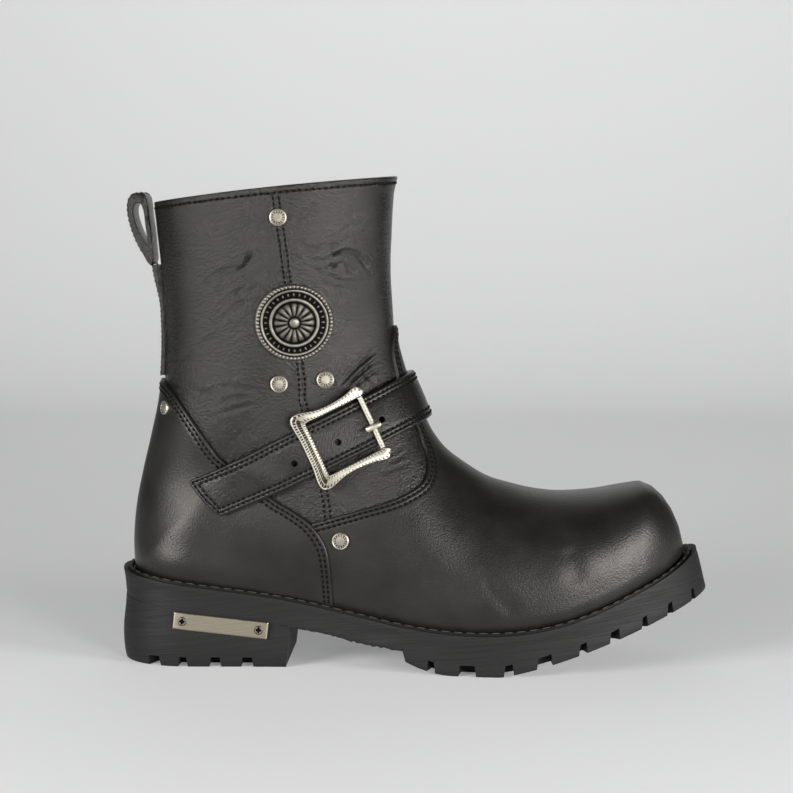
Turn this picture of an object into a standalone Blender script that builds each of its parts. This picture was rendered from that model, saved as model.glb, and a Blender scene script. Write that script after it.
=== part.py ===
"""Right-foot motorcycle boot as separate closed pieces.

Sizes below are in millimetres and are turned to metres when a piece is made.
+X points to the toe, +Z up, and the outer side of the foot is at -Y.
"""
import math

import bmesh
import bpy
import numpy as np
from mathutils import Vector
from mathutils.bvhtree import BVHTree

MM = 0.001
GAP = 0.3                # clearance between neighbouring pieces
CUT_REACH = 200.0        # half length of a cutting prism, past the boot on both sides

# Leather
UPPER_WALL = 2.0
VAMP_THICK = 1.5
COUNTER_THICK = 2.0
STRAP_THICK = 3.4
STRAP_HALF = 13.2
STRIP_HALF = 10.0        # back strip and pull loop, half width
STRIP_THICK = 2.2
STRIP_ROOT = 2.4         # extra thickness where the loop's two layers run out

# Sole
TOE_CAP_X = 85.0         # the outline rounds off to the toe from here
HEEL_CAP_X = -118.0      # and to the heel from here
CAP_POWER = 2.25
TOE_INFLARE = 6.0        # the toe tip leans this far to the inner side
INFLARE_FROM_X = 70.0
INFLARE_TO_X = 160.0
FLAT_BACK_X = 22.0       # the forefoot is flat on the floor between these two
FLAT_FRONT_X = 46.0
TOE_SPRING = 0.106       # rise of the tread in front of the flat
TOE_SPRING_POWER = 1.25
WAIST_SPRING = 0.0096    # rise of the tread behind the flat, with the square of the way
TREAD_BACK_X = -4.0      # the forefoot tread starts here
BREAST_LOW_X = -67.5     # front face of the heel at the floor
BREAST_LEAN = 2.5        # and how much further forward it is at the top
HEEL_HIGH = 33.0
LUG_DEPTH = 6.0
HEEL_LUG_DEPTH = 5.4
SIDE_LUG_REACH = 12.0    # the grooves run this far in from the edge
CUTTER_OUT = 6.0         # groove cutters start this far outside the edge
CUTTER_DROP = 12.0       # and this far under the tread
INSOLE_THICK = 4.0
WELT_HIGH = 1.6

# Rings of the sole's side: where they end at heel and toe, and how far in from the widest edge
RIM = {"heel": -158.6, "toe": 152.5, "inset": 0.4}
SOLE_MID = {"heel": -157.8, "toe": 154.6, "inset": 0.6}
SOLE_LOW = {"heel": -157.1, "toe": 157.8, "inset": 0.0}
FEATHER = {"heel": -150.0, "toe": 143.9, "inset": 6.5}
INSOLE_EDGE = {"heel": -146.4, "toe": 140.3, "inset": 10.2}
WELT_INNER_LOW = {"heel": -153.4, "toe": 146.9, "inset": 3.3}
WELT_INNER_TOP = {"heel": -154.1, "toe": 147.6, "inset": 2.5}
WELT_OUTER = {"heel": -156.1, "toe": 149.8, "inset": 1.0}

# Toe of the upper, as a rounded nose from the last straight section forward
TOE_BACK_X = 121.0
TOE_TOP_Z = 93.2
TOE_NOSE_POWER = 1.8


class Table:
    """Rows with named columns, read between the rows as smooth curves over the first column."""

    def __init__(self, columns, rows):
        self.names = columns.split()
        self.values = {name: np.array([row[i] for row in rows], float) for i, name in enumerate(self.names)}
        self.keys = self.values[self.names[0]]
        self.slopes = {name: np.gradient(column, self.keys) for name, column in self.values.items()}

    def at(self, name, key):
        keys = self.keys
        values = self.values[name]
        slopes = self.slopes[name]
        i = int(np.clip(np.searchsorted(keys, key) - 1, 0, len(keys) - 2))
        span = keys[i + 1] - keys[i]
        t = min(max((key - keys[i]) / span, 0.0), 1.0)
        rise = t * t * (3 - 2 * t)
        start = t * (1 - t) ** 2 * span
        end = t * t * (t - 1) * span
        return values[i] * (1 - rise) + values[i + 1] * rise + slopes[i] * start + slopes[i + 1] * end


# Half widths of the sole at its widest edge
SOLE_WIDTH = Table("x lateral medial", [
    (-160, 37.5, 37.5),
    (-120, 37.5, 37.0),
    (-90, 36.5, 34.5),
    (-60, 36.5, 32.0),
    (-30, 41.0, 34.0),
    (0, 48.5, 41.5),
    (30, 54.5, 50.0),
    (55, 56.0, 53.5),
    (80, 54.5, 54.0),
    (105, 51.0, 53.0),
    (130, 47.5, 50.5),
    (160, 44.0, 48.0),
])

# Top of the sole, where the upper sits
SEAT = Table("x z", [
    (-160, 49.4),
    (-135, 45.8),
    (-114, 42.8),
    (-93, 40.0),
    (-72, 37.0),
    (-50, 32.9),
    (-29, 28.8),
    (-8, 24.9),
    (13, 22.4),
    (34, 21.6),
    (55, 22.6),
    (75, 26.0),
    (97, 33.0),
    (119, 42.4),
    (131, 47.8),
    (142, 53.8),
    (152, 60.0),
    (162, 66.0),
])

# Underside of the sole behind the tread, over the arch and the heel
ARCH = Table("x z", [
    (-160, 35.0),
    (-130, 31.0),
    (-100, 26.6),
    (-80, 23.6),
    (-65, 21.5),
    (-48, 18.8),
    (-26, 14.2),
    (-4, 11.6),
])

# Side of the heel block, from the floor up
HEEL_SIDE = Table("z heel inset", [
    (0, -157.6, 1.0),
    (4, -158.4, 0.4),
    (14, -159.0, 0.0),
    (HEEL_HIGH, -157.2, 0.9),
])

# Sections of the upper after the toe. The crest point is on the front or top, the base point is on the
# sole or, from the heel up, on the back. Width is the half width and wide_at its place from crest to base.
# From the heel up, base_width is the half width at the base before the back is rounded off.
SECTIONS = Table("row crest_x crest_z base_x base_z width wide_at crest_power base_width", [
    (0, 121.0, 93.2, 121.0, 33.0, 40.2, 0.78, 2.6, 29.4),
    (1, 110.0, 91.4, 110.0, 33.0, 45.8, 0.80, 2.55, 29.4),
    (2, 98.0, 89.4, 98.0, 33.0, 49.2, 0.82, 2.5, 29.4),
    (3, 86.0, 88.6, 86.0, 33.0, 51.0, 0.84, 2.4, 29.4),
    (4, 74.0, 88.7, 74.0, 33.0, 51.6, 0.85, 2.3, 29.4),
    (5, 62.0, 90.4, 62.0, 33.0, 51.6, 0.85, 2.2, 29.4),
    (6, 50.0, 93.4, 50.0, 33.0, 51.0, 0.83, 2.1, 29.4),
    (7, 38.0, 97.4, 38.0, 33.0, 49.6, 0.80, 2.0, 29.4),
    (8, 27.0, 104.0, 27.0, 33.0, 48.0, 0.76, 1.95, 29.4),
    (9, 15.6, 112.8, 16.0, 33.0, 46.4, 0.70, 1.92, 29.4),
    (10, 7.9, 123.0, 3.0, 33.0, 44.9, 0.65, 1.9, 29.4),
    (11, 3.0, 133.2, -15.0, 33.0, 43.5, 0.62, 1.9, 29.4),
    (12, -1.2, 142.6, -37.0, 33.0, 42.6, 0.59, 1.92, 29.4),
    (13, -5.1, 152.2, -60.0, 33.0, 42.1, 0.56, 1.94, 29.4),
    (14, -8.3, 161.8, -84.0, 33.0, 42.2, 0.54, 1.96, 29.4),
    (15, -10.4, 170.4, -106.0, 33.0, 42.9, 0.52, 1.98, 29.4),
    (16, -11.3, 177.4, -124.0, 33.0, 43.6, 0.50, 2.0, 29.4),
    (17, -11.8, 183.3, -138.0, 33.0, 44.1, 0.50, 2.0, 29.4),
    (18, -12.2, 188.5, -146.6, 33.0, 44.4, 0.50, 2.0, 29.4),
    (19, -12.5, 193.0, -149.5, 33.0, 44.5, 0.50, 2.0, 31.6),
    (20, -12.7, 197.2, -150.0, 48.1, 44.5, 0.50, 2.0, 30.9),
    (21, -12.9, 202.4, -149.6, 65.0, 44.55, 0.50, 2.0, 32.6),
    (22, -13.0, 208.2, -148.2, 82.0, 45.3, 0.50, 2.0, 35.4),
    (23, -13.0, 214.2, -144.6, 101.0, 46.2, 0.50, 2.0, 38.5),
    (24, -12.9, 220.8, -140.0, 121.0, 47.1, 0.50, 2.0, 41.6),
    (25, -12.6, 228.2, -136.3, 142.5, 48.2, 0.50, 2.0, 44.6),
    (26, -12.3, 236.0, -134.4, 166.0, 49.4, 0.50, 2.0, 47.4),
    (27, -11.8, 244.0, -134.8, 192.0, 50.6, 0.50, 2.0, 49.8),
    (28, -11.2, 252.0, -137.2, 219.0, 51.7, 0.50, 2.0, 51.6),
    (29, -9.3, 259.6, -140.3, 246.0, 52.6, 0.50, 2.0, 52.6),
])
# Back of the upper, and where and how it starts to round off at each height
BACK = Table("z x round_x round_power", [
    (48.1, -150.0, -118.0, 2.25),
    (65.0, -150.6, -114.0, 2.2),
    (82.0, -149.2, -109.0, 2.15),
    (101.0, -145.5, -103.0, 2.1),
    (121.0, -140.6, -96.0, 2.05),
    (142.5, -136.3, -88.0, 2.0),
    (166.0, -134.4, -81.0, 2.0),
    (192.0, -134.8, -77.0, 2.0),
    (219.0, -137.2, -76.0, 2.0),
    (247.0, -140.3, -75.0, 2.0),
])
# Heel cup: the upper is fuller just over the sole and draws in at the ankle, fading out between two places
CUP_X = (-45.0, -115.0)
CUP_SEAT = (2.2, 10.5, 8.0)      # how much, how far over the sole, over what height
CUP_WAIST = (-7.2, 99.0, 27.0)   # how much, at what height, over what height
COLLAR_CROWN = 1.6       # the collar's edge rises this far between front and back
CROWN_ROWS = 6           # over this many sections
SWING_V = (10, 20)       # the upper swings from the sole's middle line to its own between these sections
SWING_Z = (5, 70)        # and between these heights over the sole
V_HEEL = 21              # the section that ends at the heel's feather tip
V_COLLAR = 30            # the last section
V_OF_ROW = 1             # sections follow the toe nose, which takes v from 0 to 1

# Edges of the overlays in side view
COUNTER_EDGE = [
    (-160.0, 151.0),
    (-138.7, 151.2),
    (-126.7, 145.9),
    (-113.5, 130.0),
    (-105.0, 117.5),
    (-98.5, 110.8),
    (-74.0, 92.0),
    (-64.0, 86.2),
    (-52.8, 78.4),
    (-45.4, 67.7),
    (-42.8, 56.0),
    (-41.8, 40.0),
    (-41.2, 20.0),
]
VAMP_EDGE = [
    (-66.0, 75.0),
    (-51.0, 79.3),
    (-27.4, 86.4),
    (-8.7, 91.9),
    (4.3, 98.5),
    (8.5, 103.0),
    (10.5, 108.0),
    (12.0, 114.0),
]
VAMP_CORNER_X = -54.0    # where the vamp's edge runs under the counter
TAB_BACK_X = -30.0       # the tab is cut from the shaft's front only
# Tab of the vamp up the front of the shaft, seen from the front
VAMP_TAB = Table("z half", [
    (100, 30.0),
    (117, 18.0),
    (130, 15.0),
    (146, 13.0),
    (160, 12.0),
    (170, 10.6),
    (176, 7.6),
    (179.6, 1.5),
])

# Grooves between the lugs, along the edge of the tread
SOLE_GROOVES = [
    (8.1, 12.2),
    (24.7, 33.6),
    (48.7, 53.4),
    (65.9, 73.6),
    (87.8, 92.0),
    (104.0, 109.1),
    (121.0, 124.0),
    (135.0, 138.0),
    (148.6, 150.6),
]
HEEL_GROOVES = [
    (-141.7, -135.0),
    (-124.8, -120.0),
    (-107.9, -102.1),
    (-91.0, -84.9),
]

# Buckle frame seen along its plane, upper half: a along the strap, b across it
BUCKLE = Table("row outer_a outer_b inner_a inner_b", [
    (0, 17.2, 17.2, 14.7, 15.1),
    (1, 14.4, 20.9, 12.4, 15.1),
    (2, 8.0, 19.3, 7.6, 15.1),
    (3, 0.0, 18.4, 0.0, 15.1),
    (4, -8.0, 18.9, -7.0, 15.1),
    (5, -17.8, 21.4, -14.4, 15.1),
    (6, -21.9, 18.4, -15.3, 14.0),
    (7, -21.3, 8.0, -15.3, 7.0),
    (8, -21.2, 0.0, -15.3, 0.0),
])
BUCKLE_CENTRE = (-35.9, 124.6)
BUCKLE_THICK = 2.6
BAR_A = 14.2             # the bar's place along the strap, from the buckle's centre
BAR_RADIUS = 1.35
BAR_LIFT = 1.65          # bar's axis over the frame's underside
BAR_HALF = 14.8
PRONG_HALF = 1.5
PRONG_B = -2.6           # below the middle of the bar

# Strap: a band in a plane that leans up to the front
STRAP_LEAN = math.radians(25.5)
STRAP_HUB = (-38.0, 124.5)       # point inside the ankle that the band turns about
STRAP_END_ANGLE = math.radians(156.0)
STRAP_FAR_ANGLE = math.radians(-104)
STRAP_END_SLANT = 0.003          # turn of the cut end for each mm across the strap
STRAP_END_TAPER = 0.1            # share of its width that the strap loses to its end
STRAP_SLACK = 0.2                # more room under the strap and the buckle than under flat pieces
COUNTER_STEP_X = -82.3           # the strap leaves the counter's edge here, at its middle line
COUNTER_STEP_SLANT = -0.79
COUNTER_STEP_RUN = 16.0
COUNTER_SLACK = 0.5              # more room where the counter is hollow at the ankle
TAB_STEP_X = (-32.0, -14.0)      # it climbs onto the vamp's tab between these

# Round trim: profile from centre to edge, radius and height
RIVET_PROFILE = [(0.0, 2.1), (2.2, 1.8), (3.4, 1.2), (4.5, 0.7)]
COUNTER_RIVET_PROFILE = [(0.0, 1.7), (1.8, 1.5), (2.8, 1.0), (3.7, 0.6)]
MEDALLION_PROFILE = [(0.0, 3.0), (9.5, 2.6), (12.4, 1.7), (17.6, 1.7), (18.6, 2.4), (20.0, 1.2)]
MEDALLION_AT = (-61.5, 184.7)
# Rivets on the outer side: side-view place and what lies under them
RIVETS = [
    ("rivet_shaft_top", -68.8, 239.2, 0.0),
    ("rivet_shaft_back", -69.5, 152.4, 0.0),
    ("rivet_shaft_front", -45.8, 154.1, 0.0),
    ("rivet_vamp", -37.0, 70.3, GAP + VAMP_THICK),
]
COUNTER_RIVET_Z = 137.2
COUNTER_RIVET_TURN = math.radians(22.0)  # from straight back towards the outer side
SHAFT_AXIS_X = -75.0

# Heel plate on the outer side of the heel
PLATE_CENTRE = (-101.9, 22.8)
PLATE_HALF_LONG = 25.2
PLATE_HALF_HIGH = 4.5
PLATE_THICK = 1.2
PLATE_LEAN = math.radians(-6.4)
SCREW_FROM_CENTRE = 20.4
SCREW_RADIUS = 2.4
SCREW_HIGH = 0.5

# Pull loop: side outlines of the folded leather, round the outside and round the gap
LOOP_OUTER = [
    (-139.6, 214.0),
    (-142.0, 212.6),
    (-145.2, 218.0),
    (-149.2, 225.5),
    (-152.2, 234.0),
    (-153.6, 241.5),
    (-153.2, 247.0),
    (-151.0, 250.3),
    (-147.6, 251.0),
    (-144.4, 250.2),
    (-142.9, 247.4),
    (-142.0, 239.0),
    (-140.9, 230.0),
]
LOOP_GAP = [
    (-142.9, 222.6),
    (-146.0, 227.4),
    (-148.9, 234.4),
    (-150.4, 241.0),
    (-149.4, 245.0),
    (-146.8, 245.6),
    (-145.0, 241.6),
    (-144.2, 235.0),
    (-143.2, 227.6),
]
STRIP_TOP_Z = 212.8
STRIP_LOW_Z = 153.6

LEATHER = (0.012, 0.012, 0.012)
RUBBER = (0.02, 0.02, 0.021)
NICKEL = (0.52, 0.48, 0.40)


def clear_scene():
    for item in list(bpy.data.objects):
        bpy.data.objects.remove(item, do_unlink=True)


def smoothstep(low, high, value):
    t = min(max((value - low) / (high - low), 0.0), 1.0)
    return t * t * (3 - 2 * t)


def finish_material(name, colour, rough, metal):
    material = bpy.data.materials.new(name)
    material.use_nodes = True
    shader = material.node_tree.nodes["Principled BSDF"]
    shader.inputs["Base Color"].default_value = (*colour, 1.0)
    shader.inputs["Roughness"].default_value = rough
    shader.inputs["Metallic"].default_value = metal
    return material


def add_piece(name, points, faces, colour=LEATHER, rough=0.5, metal=0.0):
    """A closed mesh from points in mm, with doubled points merged and faces turned outwards."""
    mesh = bpy.data.meshes.new(name)
    work = bmesh.new()
    corners = [work.verts.new(Vector(point) * MM) for point in points]
    for face in faces:
        if len(set(face)) > 2:
            work.faces.new([corners[i] for i in face])
    bmesh.ops.remove_doubles(work, verts=work.verts, dist=0.00001)
    bmesh.ops.dissolve_degenerate(work, edges=work.edges, dist=0.000005)
    bmesh.ops.recalc_face_normals(work, faces=work.faces)
    work.to_mesh(mesh)
    work.free()
    mesh.shade_smooth()
    mesh.set_sharp_from_angle(angle=math.radians(35))
    mesh.materials.append(finish_material(name, colour, rough, metal))
    piece = bpy.data.objects.new(name, mesh)
    bpy.context.collection.objects.link(piece)
    return piece


def add_cutter(name, points, faces):
    cutter = add_piece(name, points, faces)
    cutter.hide_render = True
    cutter.display_type = "WIRE"
    return cutter


def cut_with(piece, cutter, operation):
    change = piece.modifiers.new(cutter.name, "BOOLEAN")
    change.operation = operation
    change.solver = "EXACT"
    change.object = cutter


def grid_faces(rows, columns, first=0):
    """Triangles over a grid of points, always with the same diagonal."""
    faces = []
    for i in range(rows - 1):
        for j in range(columns - 1):
            a = first + i * columns + j
            b = a + columns
            faces.append((a, a + 1, b + 1))
            faces.append((a, b + 1, b))
    return faces


def walls_between(loop_a, loop_b):
    """Triangles between two matching runs of point numbers."""
    faces = []
    for i in range(len(loop_a) - 1):
        faces.append((loop_a[i], loop_a[i + 1], loop_b[i + 1]))
        faces.append((loop_a[i], loop_b[i + 1], loop_b[i]))
    return faces


def prism(points, axis):
    """Points and faces of an outline in side view (axis 1) or front view (axis 0), run across the boot."""
    count = len(points)
    solid = []
    for reach in (-CUT_REACH, CUT_REACH):
        for first, second in points:
            solid.append((first, reach, second) if axis == 1 else (reach, first, second))
    faces = [tuple(range(count)), tuple(range(2 * count - 1, count - 1, -1))]
    for i in range(count):
        j = (i + 1) % count
        faces.append((i, j, count + j, count + i))
    return solid, faces


def smooth_run(points, steps):
    """A smooth curve through hand-placed points, with some steps between each pair."""
    rows = [(i, *point) for i, point in enumerate(points)]
    curve = Table("row x z", rows)
    keys = [i / steps for i in range((len(points) - 1) * steps + 1)]
    return [(curve.at("x", key), curve.at("z", key)) for key in keys]


# The sole's outline and heights

def outline(x, ring, side):
    run = 0.0
    if x > TOE_CAP_X:
        run = (x - TOE_CAP_X) / (ring["toe"] - TOE_CAP_X)
    elif x < HEEL_CAP_X:
        run = (HEEL_CAP_X - x) / (HEEL_CAP_X - ring["heel"])
    cap = (1 - min(run, 1.0) ** CAP_POWER) ** (1 / CAP_POWER)
    half = (SOLE_WIDTH.at(side, x) - ring["inset"]) * cap
    centre = TOE_INFLARE * smoothstep(INFLARE_FROM_X, INFLARE_TO_X, x)
    return centre + (half if side == "medial" else -half)


def seat_z(x):
    return SEAT.at("z", x)


def tread_z(x):
    """Underside of the lugs: flat on the floor under the ball, with toe spring in front."""
    if x > FLAT_FRONT_X:
        return TOE_SPRING * (x - FLAT_FRONT_X) ** TOE_SPRING_POWER
    if x < FLAT_BACK_X:
        return WAIST_SPRING * (FLAT_BACK_X - x) ** 2
    return 0.0


def under_z(x):
    return tread_z(x) if x >= TREAD_BACK_X else ARCH.at("z", x)


def stations(low, high, count, fixed=()):
    """Places from low to high, closer together at both ends, with some fixed ones among them."""
    apart = 2.0
    middle = (low + high) / 2
    reach = (high - low) / 2
    places = [middle - reach * math.cos(math.pi * i / count) for i in range(count + 1)]
    places = [x for x in places if all(abs(x - stop) > apart for stop in fixed)]
    return sorted(places + list(fixed))


def slab(levels, places):
    """A solid between two closed ends: each level is a ring and a height function, from the top down.

    The places are shares of the way from heel to toe. Every station holds an outer-side and an
    inner-side point on each level.
    """
    points = []
    for share in places:
        for side in ("lateral", "medial"):
            for ring, height in levels:
                x = ring["heel"] + (ring["toe"] - ring["heel"]) * share
                points.append((x, outline(x, ring, side), height(x)))
    per_side = len(levels)
    loop = list(range(per_side)) + list(range(2 * per_side - 1, per_side - 1, -1))
    loop.append(loop[0])
    faces = []
    for i in range(len(places) - 1):
        here = [2 * per_side * i + k for k in loop]
        there = [2 * per_side * (i + 1) + k for k in loop]
        faces += walls_between(here, there)
    return points, faces, loop[:-1]


# The upper's skin

def feather_half(x):
    """Half width of the upper where it meets the sole, before the heel is rounded off."""
    ends = dict(FEATHER, heel=-10 * CUT_REACH)
    return (outline(x, ends, "medial") - outline(x, ends, "lateral")) / 2


def back_rounding(x, z):
    """Share of the width that is left where the back rounds off."""
    start = BACK.at("round_x", z)
    power = BACK.at("round_power", z)
    run = min(max((start - x) / (start - BACK.at("x", z)), 0.0), 1.0)
    return (1 - run ** power) ** (1 / power)


def heel_cup(x, z):
    more, middle, high = CUP_SEAT
    low = more * math.exp(-((z - seat_z(x) - middle) / high) ** 2)
    more, middle, high = CUP_WAIST
    waist = more * math.exp(-((z - middle) / high) ** 2)
    return smoothstep(0, 1, (x - CUP_X[0]) / (CUP_X[1] - CUP_X[0])) * (low + waist)


def section(v):
    """Crest and base points, widths and roundness of the section at v, from toe tip to collar."""
    if v < V_OF_ROW:
        nose = math.cos(math.pi / 2 * v)
        x = TOE_BACK_X + (FEATHER["toe"] - TOE_BACK_X) * nose
        tip_z = seat_z(FEATHER["toe"]) + GAP
        top = tip_z + (TOE_TOP_Z - tip_z) * (1 - nose ** TOE_NOSE_POWER) ** (1 / TOE_NOSE_POWER)
        half = feather_half(x)
        bulge = (SECTIONS.at("width", 0) - feather_half(TOE_BACK_X)) * (1 - nose ** 2)
        wide_at = SECTIONS.at("wide_at", 0)
        return (x, top), (x, seat_z(x) + GAP), half, half + bulge, wide_at, SECTIONS.at("crest_power", 0)
    row = v - V_OF_ROW
    crest = (SECTIONS.at("crest_x", row), SECTIONS.at("crest_z", row))
    if v < V_HEEL:
        base_x = max(SECTIONS.at("base_x", row), FEATHER["heel"])
        base = (base_x, seat_z(base_x) + GAP)
        half = feather_half(base_x)
    else:
        base_z = SECTIONS.at("base_z", row)
        base = (BACK.at("x", base_z), base_z)
        half = SECTIONS.at("base_width", row)
    shape = [SECTIONS.at(name, row) for name in ("width", "wide_at", "crest_power")]
    return crest, base, half, *shape


def skin(v, u):
    """Point of the upper's outer skin: u runs from -1 at the outer base over the crest to +1."""
    crest, base, half, width, wide_at, crest_power = section(v)
    turn = abs(u) * math.pi
    if turn <= math.pi / 2:
        along = wide_at * (1 - abs(math.cos(turn)) ** (2 / crest_power))
        across = width * math.sin(turn) ** (2 / crest_power)
    else:
        fall = math.sin(turn - math.pi / 2)
        along = wide_at + (1 - wide_at) * fall
        across = half + (width - half) * (1 - fall ** 2)
    x = crest[0] + (base[0] - crest[0]) * along
    z = crest[1] + (base[1] - crest[1]) * along
    across = (across + heel_cup(x, z)) * back_rounding(x, z)
    z += COLLAR_CROWN * smoothstep(V_COLLAR - CROWN_ROWS, V_COLLAR, v) * 4 * along * (1 - along)
    lean = 1 - smoothstep(*SWING_V, v) * smoothstep(*SWING_Z, z - seat_z(x))
    middle = (outline(x, FEATHER, "medial") + outline(x, FEATHER, "lateral")) / 2 * lean
    return Vector((x, middle + math.copysign(across, u), z))


def skin_normal(v, u):
    step = 0.01
    if v < step:
        return Vector((1, 0, 0))
    around = skin(v, min(u + step, 1)) - skin(v, max(u - step, -1))
    along = skin(min(v + step, V_COLLAR), u) - skin(max(v - step, 0), u)
    normal = around.cross(along).normalized()
    if abs(u) == 1 and v >= V_HEEL:
        normal = Vector((normal.x, 0, normal.z)).normalized()
    return normal


def off_skin(v, u, offset):
    """Point at some distance from the skin, kept above the sole."""
    point = skin(v, u) + skin_normal(v, u) * offset
    point.z = max(point.z, seat_z(point.x) + GAP)
    return point


TOE_STEPS = [0.0, 0.14, 0.3, 0.48, 0.66, 0.84]
AROUND = [math.copysign(abs(i / 13) ** 0.95, i) for i in range(-13, 14)]


def skin_rows(first, last):
    rows = list(range(max(first, 1), last + 1))
    return TOE_STEPS + rows if first == 0 else rows


def shell(rows, inner, outer):
    """A wall between two offsets of the skin, closed along its rims."""
    columns = len(AROUND)
    points = [off_skin(v, u, offset) for offset in (outer, inner) for v in rows for u in AROUND]
    size = len(rows) * columns
    faces = grid_faces(len(rows), columns) + grid_faces(len(rows), columns, size)
    on_sole = [i for i, v in enumerate(rows) if v <= V_HEEL]
    for j in (0, columns - 1):
        edge = [i * columns + j for i in on_sole]
        faces += walls_between(edge, [size + k for k in edge])
    ends = [len(rows) - 1] if rows[0] == 0 else [0, len(rows) - 1]
    for i in ends:
        edge = [i * columns + j for j in range(columns)]
        faces += walls_between(edge, [size + k for k in edge])
    return points, faces


def fine_skin():
    """The skin as a fine net for finding points on it."""
    rows = [i / 4 for i in range(4 * V_COLLAR + 1)]
    around = [i / 40 for i in range(-40, 41)]
    points = [skin(v, u) for v in rows for u in around]
    return BVHTree.FromPolygons(points, grid_faces(len(rows), len(around)), epsilon=0.001)


SKIN_NET = fine_skin()


def find_skin(start, direction):
    """Where a line from inside the boot leaves it, with the outward normal there."""
    place, normal, _, _ = SKIN_NET.ray_cast(Vector(start), Vector(direction))
    return place, normal if normal.dot(Vector(direction)) > 0 else -normal


# Pieces of the sole

def make_outsole():
    length = SOLE_LOW["toe"] - SOLE_LOW["heel"]
    tread_step = 0.6
    fixed = (-65.0, TREAD_BACK_X - tread_step, TREAD_BACK_X, 10.0, FLAT_BACK_X, 34.0, FLAT_FRONT_X)
    places = stations(SOLE_LOW["heel"], SOLE_LOW["toe"], 30, fixed)
    shares = [(x - SOLE_LOW["heel"]) / length for x in places]

    def low_x(x, ring):
        return SOLE_LOW["heel"] + (x - ring["heel"]) / (ring["toe"] - ring["heel"]) * length

    def middle_z(x):
        return 0.6 * seat_z(x) + 0.4 * under_z(low_x(x, SOLE_MID))

    levels = [(RIM, seat_z), (SOLE_MID, middle_z), (SOLE_LOW, under_z)]
    points, faces, _ = slab(levels, shares)
    last = 6 * (len(places) - 1)
    for first in (0, last):
        faces.append((first, first + 1, first + 4))
        faces.append((first, first + 4, first + 3))
        faces.append((first + 1, first + 2, first + 5))
        faces.append((first + 1, first + 5, first + 4))
    sole = add_piece("outsole", points, faces, RUBBER, 0.6)
    cut_with(sole, groove_cutter("sole_side_grooves", SOLE_GROOVES, SOLE_LOW, tread_z, LUG_DEPTH), "DIFFERENCE")
    cut_with(sole, middle_cutter("sole_middle_grooves", SOLE_GROOVES[:7], tread_z, LUG_DEPTH), "DIFFERENCE")
    return sole


def make_heel():
    bottom = {"heel": HEEL_SIDE.at("heel", 0), "toe": RIM["toe"], "inset": HEEL_SIDE.at("inset", 0)}
    levels = []
    for z in (HEEL_HIGH, 14, 4, 0):
        ring = {"heel": HEEL_SIDE.at("heel", z), "toe": RIM["toe"], "inset": HEEL_SIDE.at("inset", z)}
        levels.append((ring, z))
    places = stations(bottom["heel"], BREAST_LOW_X - 8.5, 12) + [BREAST_LOW_X]
    points = []
    for x in places:
        share = (x - bottom["heel"]) / (BREAST_LOW_X - bottom["heel"])
        for side in ("lateral", "medial"):
            for ring, z in levels:
                breast = BREAST_LOW_X + BREAST_LEAN * z / HEEL_HIGH
                place = ring["heel"] + (breast - ring["heel"]) * share
                height = ARCH.at("z", place) - GAP if z == HEEL_HIGH else z
                points.append((place, outline(place, ring, side), height))
    loop = [0, 1, 2, 3, 7, 6, 5, 4, 0]
    faces = []
    for i in range(len(places) - 1):
        faces += walls_between([8 * i + k for k in loop], [8 * (i + 1) + k for k in loop])
    for first in (0, 8 * (len(places) - 1)):
        for k in range(3):
            faces.append((first + k, first + k + 1, first + k + 5))
            faces.append((first + k, first + k + 5, first + k + 4))
    heel = add_piece("heel", points, faces, RUBBER, 0.6)
    ring = {"heel": HEEL_SIDE.at("heel", 14), "toe": RIM["toe"], "inset": 0.0}
    cutter = groove_cutter("heel_side_grooves", HEEL_GROOVES, ring, lambda x: 0.0, HEEL_LUG_DEPTH)
    cut_with(heel, cutter, "DIFFERENCE")
    return heel


def box_at(points, faces, corner_lists):
    """Adds one eight-cornered block, given its lower and its upper corners in turn."""
    first = len(points)
    points += corner_lists[0] + corner_lists[1]
    faces.append((first, first + 1, first + 2, first + 3))
    faces.append((first + 7, first + 6, first + 5, first + 4))
    for k in range(4):
        m = (k + 1) % 4
        faces.append((first + k, first + 4 + k, first + 4 + m, first + m))


def groove_cutter(name, grooves, ring, floor_z, depth):
    """Blocks that cut the grooves in from both edges, square to the outline."""
    points = []
    faces = []
    for side in ("lateral", "medial"):
        for low, high in grooves:
            edge = []
            for x in (low, high):
                edge.append(Vector((x, outline(x, ring, side), 0)))
            along = (edge[1] - edge[0]).normalized()
            inward = Vector((-along.y, along.x, 0))
            if side == "medial":
                inward = -inward
            corners = []
            for place, reach in ((0, -CUTTER_OUT), (1, -CUTTER_OUT), (1, SIDE_LUG_REACH), (0, SIDE_LUG_REACH)):
                corners.append(edge[place] + inward * reach)
            bottom = [(c.x, c.y, floor_z(low) - CUTTER_DROP) for c in corners]
            top = [(c.x, c.y, floor_z(x) + depth) for c, x in zip(corners, (low, high, high, low))]
            box_at(points, faces, (bottom, top))
    return add_cutter(name, points, faces)


def middle_cutter(name, grooves, floor_z, depth):
    """Blocks that part the middle lugs, set between the side grooves."""
    half_wide = 2.2
    reach = 22.0
    slant = 5.0
    points = []
    faces = []
    for (_, start), (end, _) in zip(grooves[:-1], grooves[1:]):
        middle = (start + end) / 2
        centre = (outline(middle, SOLE_LOW, "medial") + outline(middle, SOLE_LOW, "lateral")) / 2
        corners = []
        for x, y, lean in ((-1, -1, -1), (1, -1, -1), (1, 1, 1), (-1, 1, 1)):
            corners.append((middle + x * half_wide + lean * slant, centre + y * reach))
        bottom = [(x, y, floor_z(middle) - CUTTER_DROP) for x, y in corners]
        top = [(x, y, floor_z(x) + depth) for x, y in corners]
        box_at(points, faces, (bottom, top))
    return add_cutter(name, points, faces)


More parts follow.
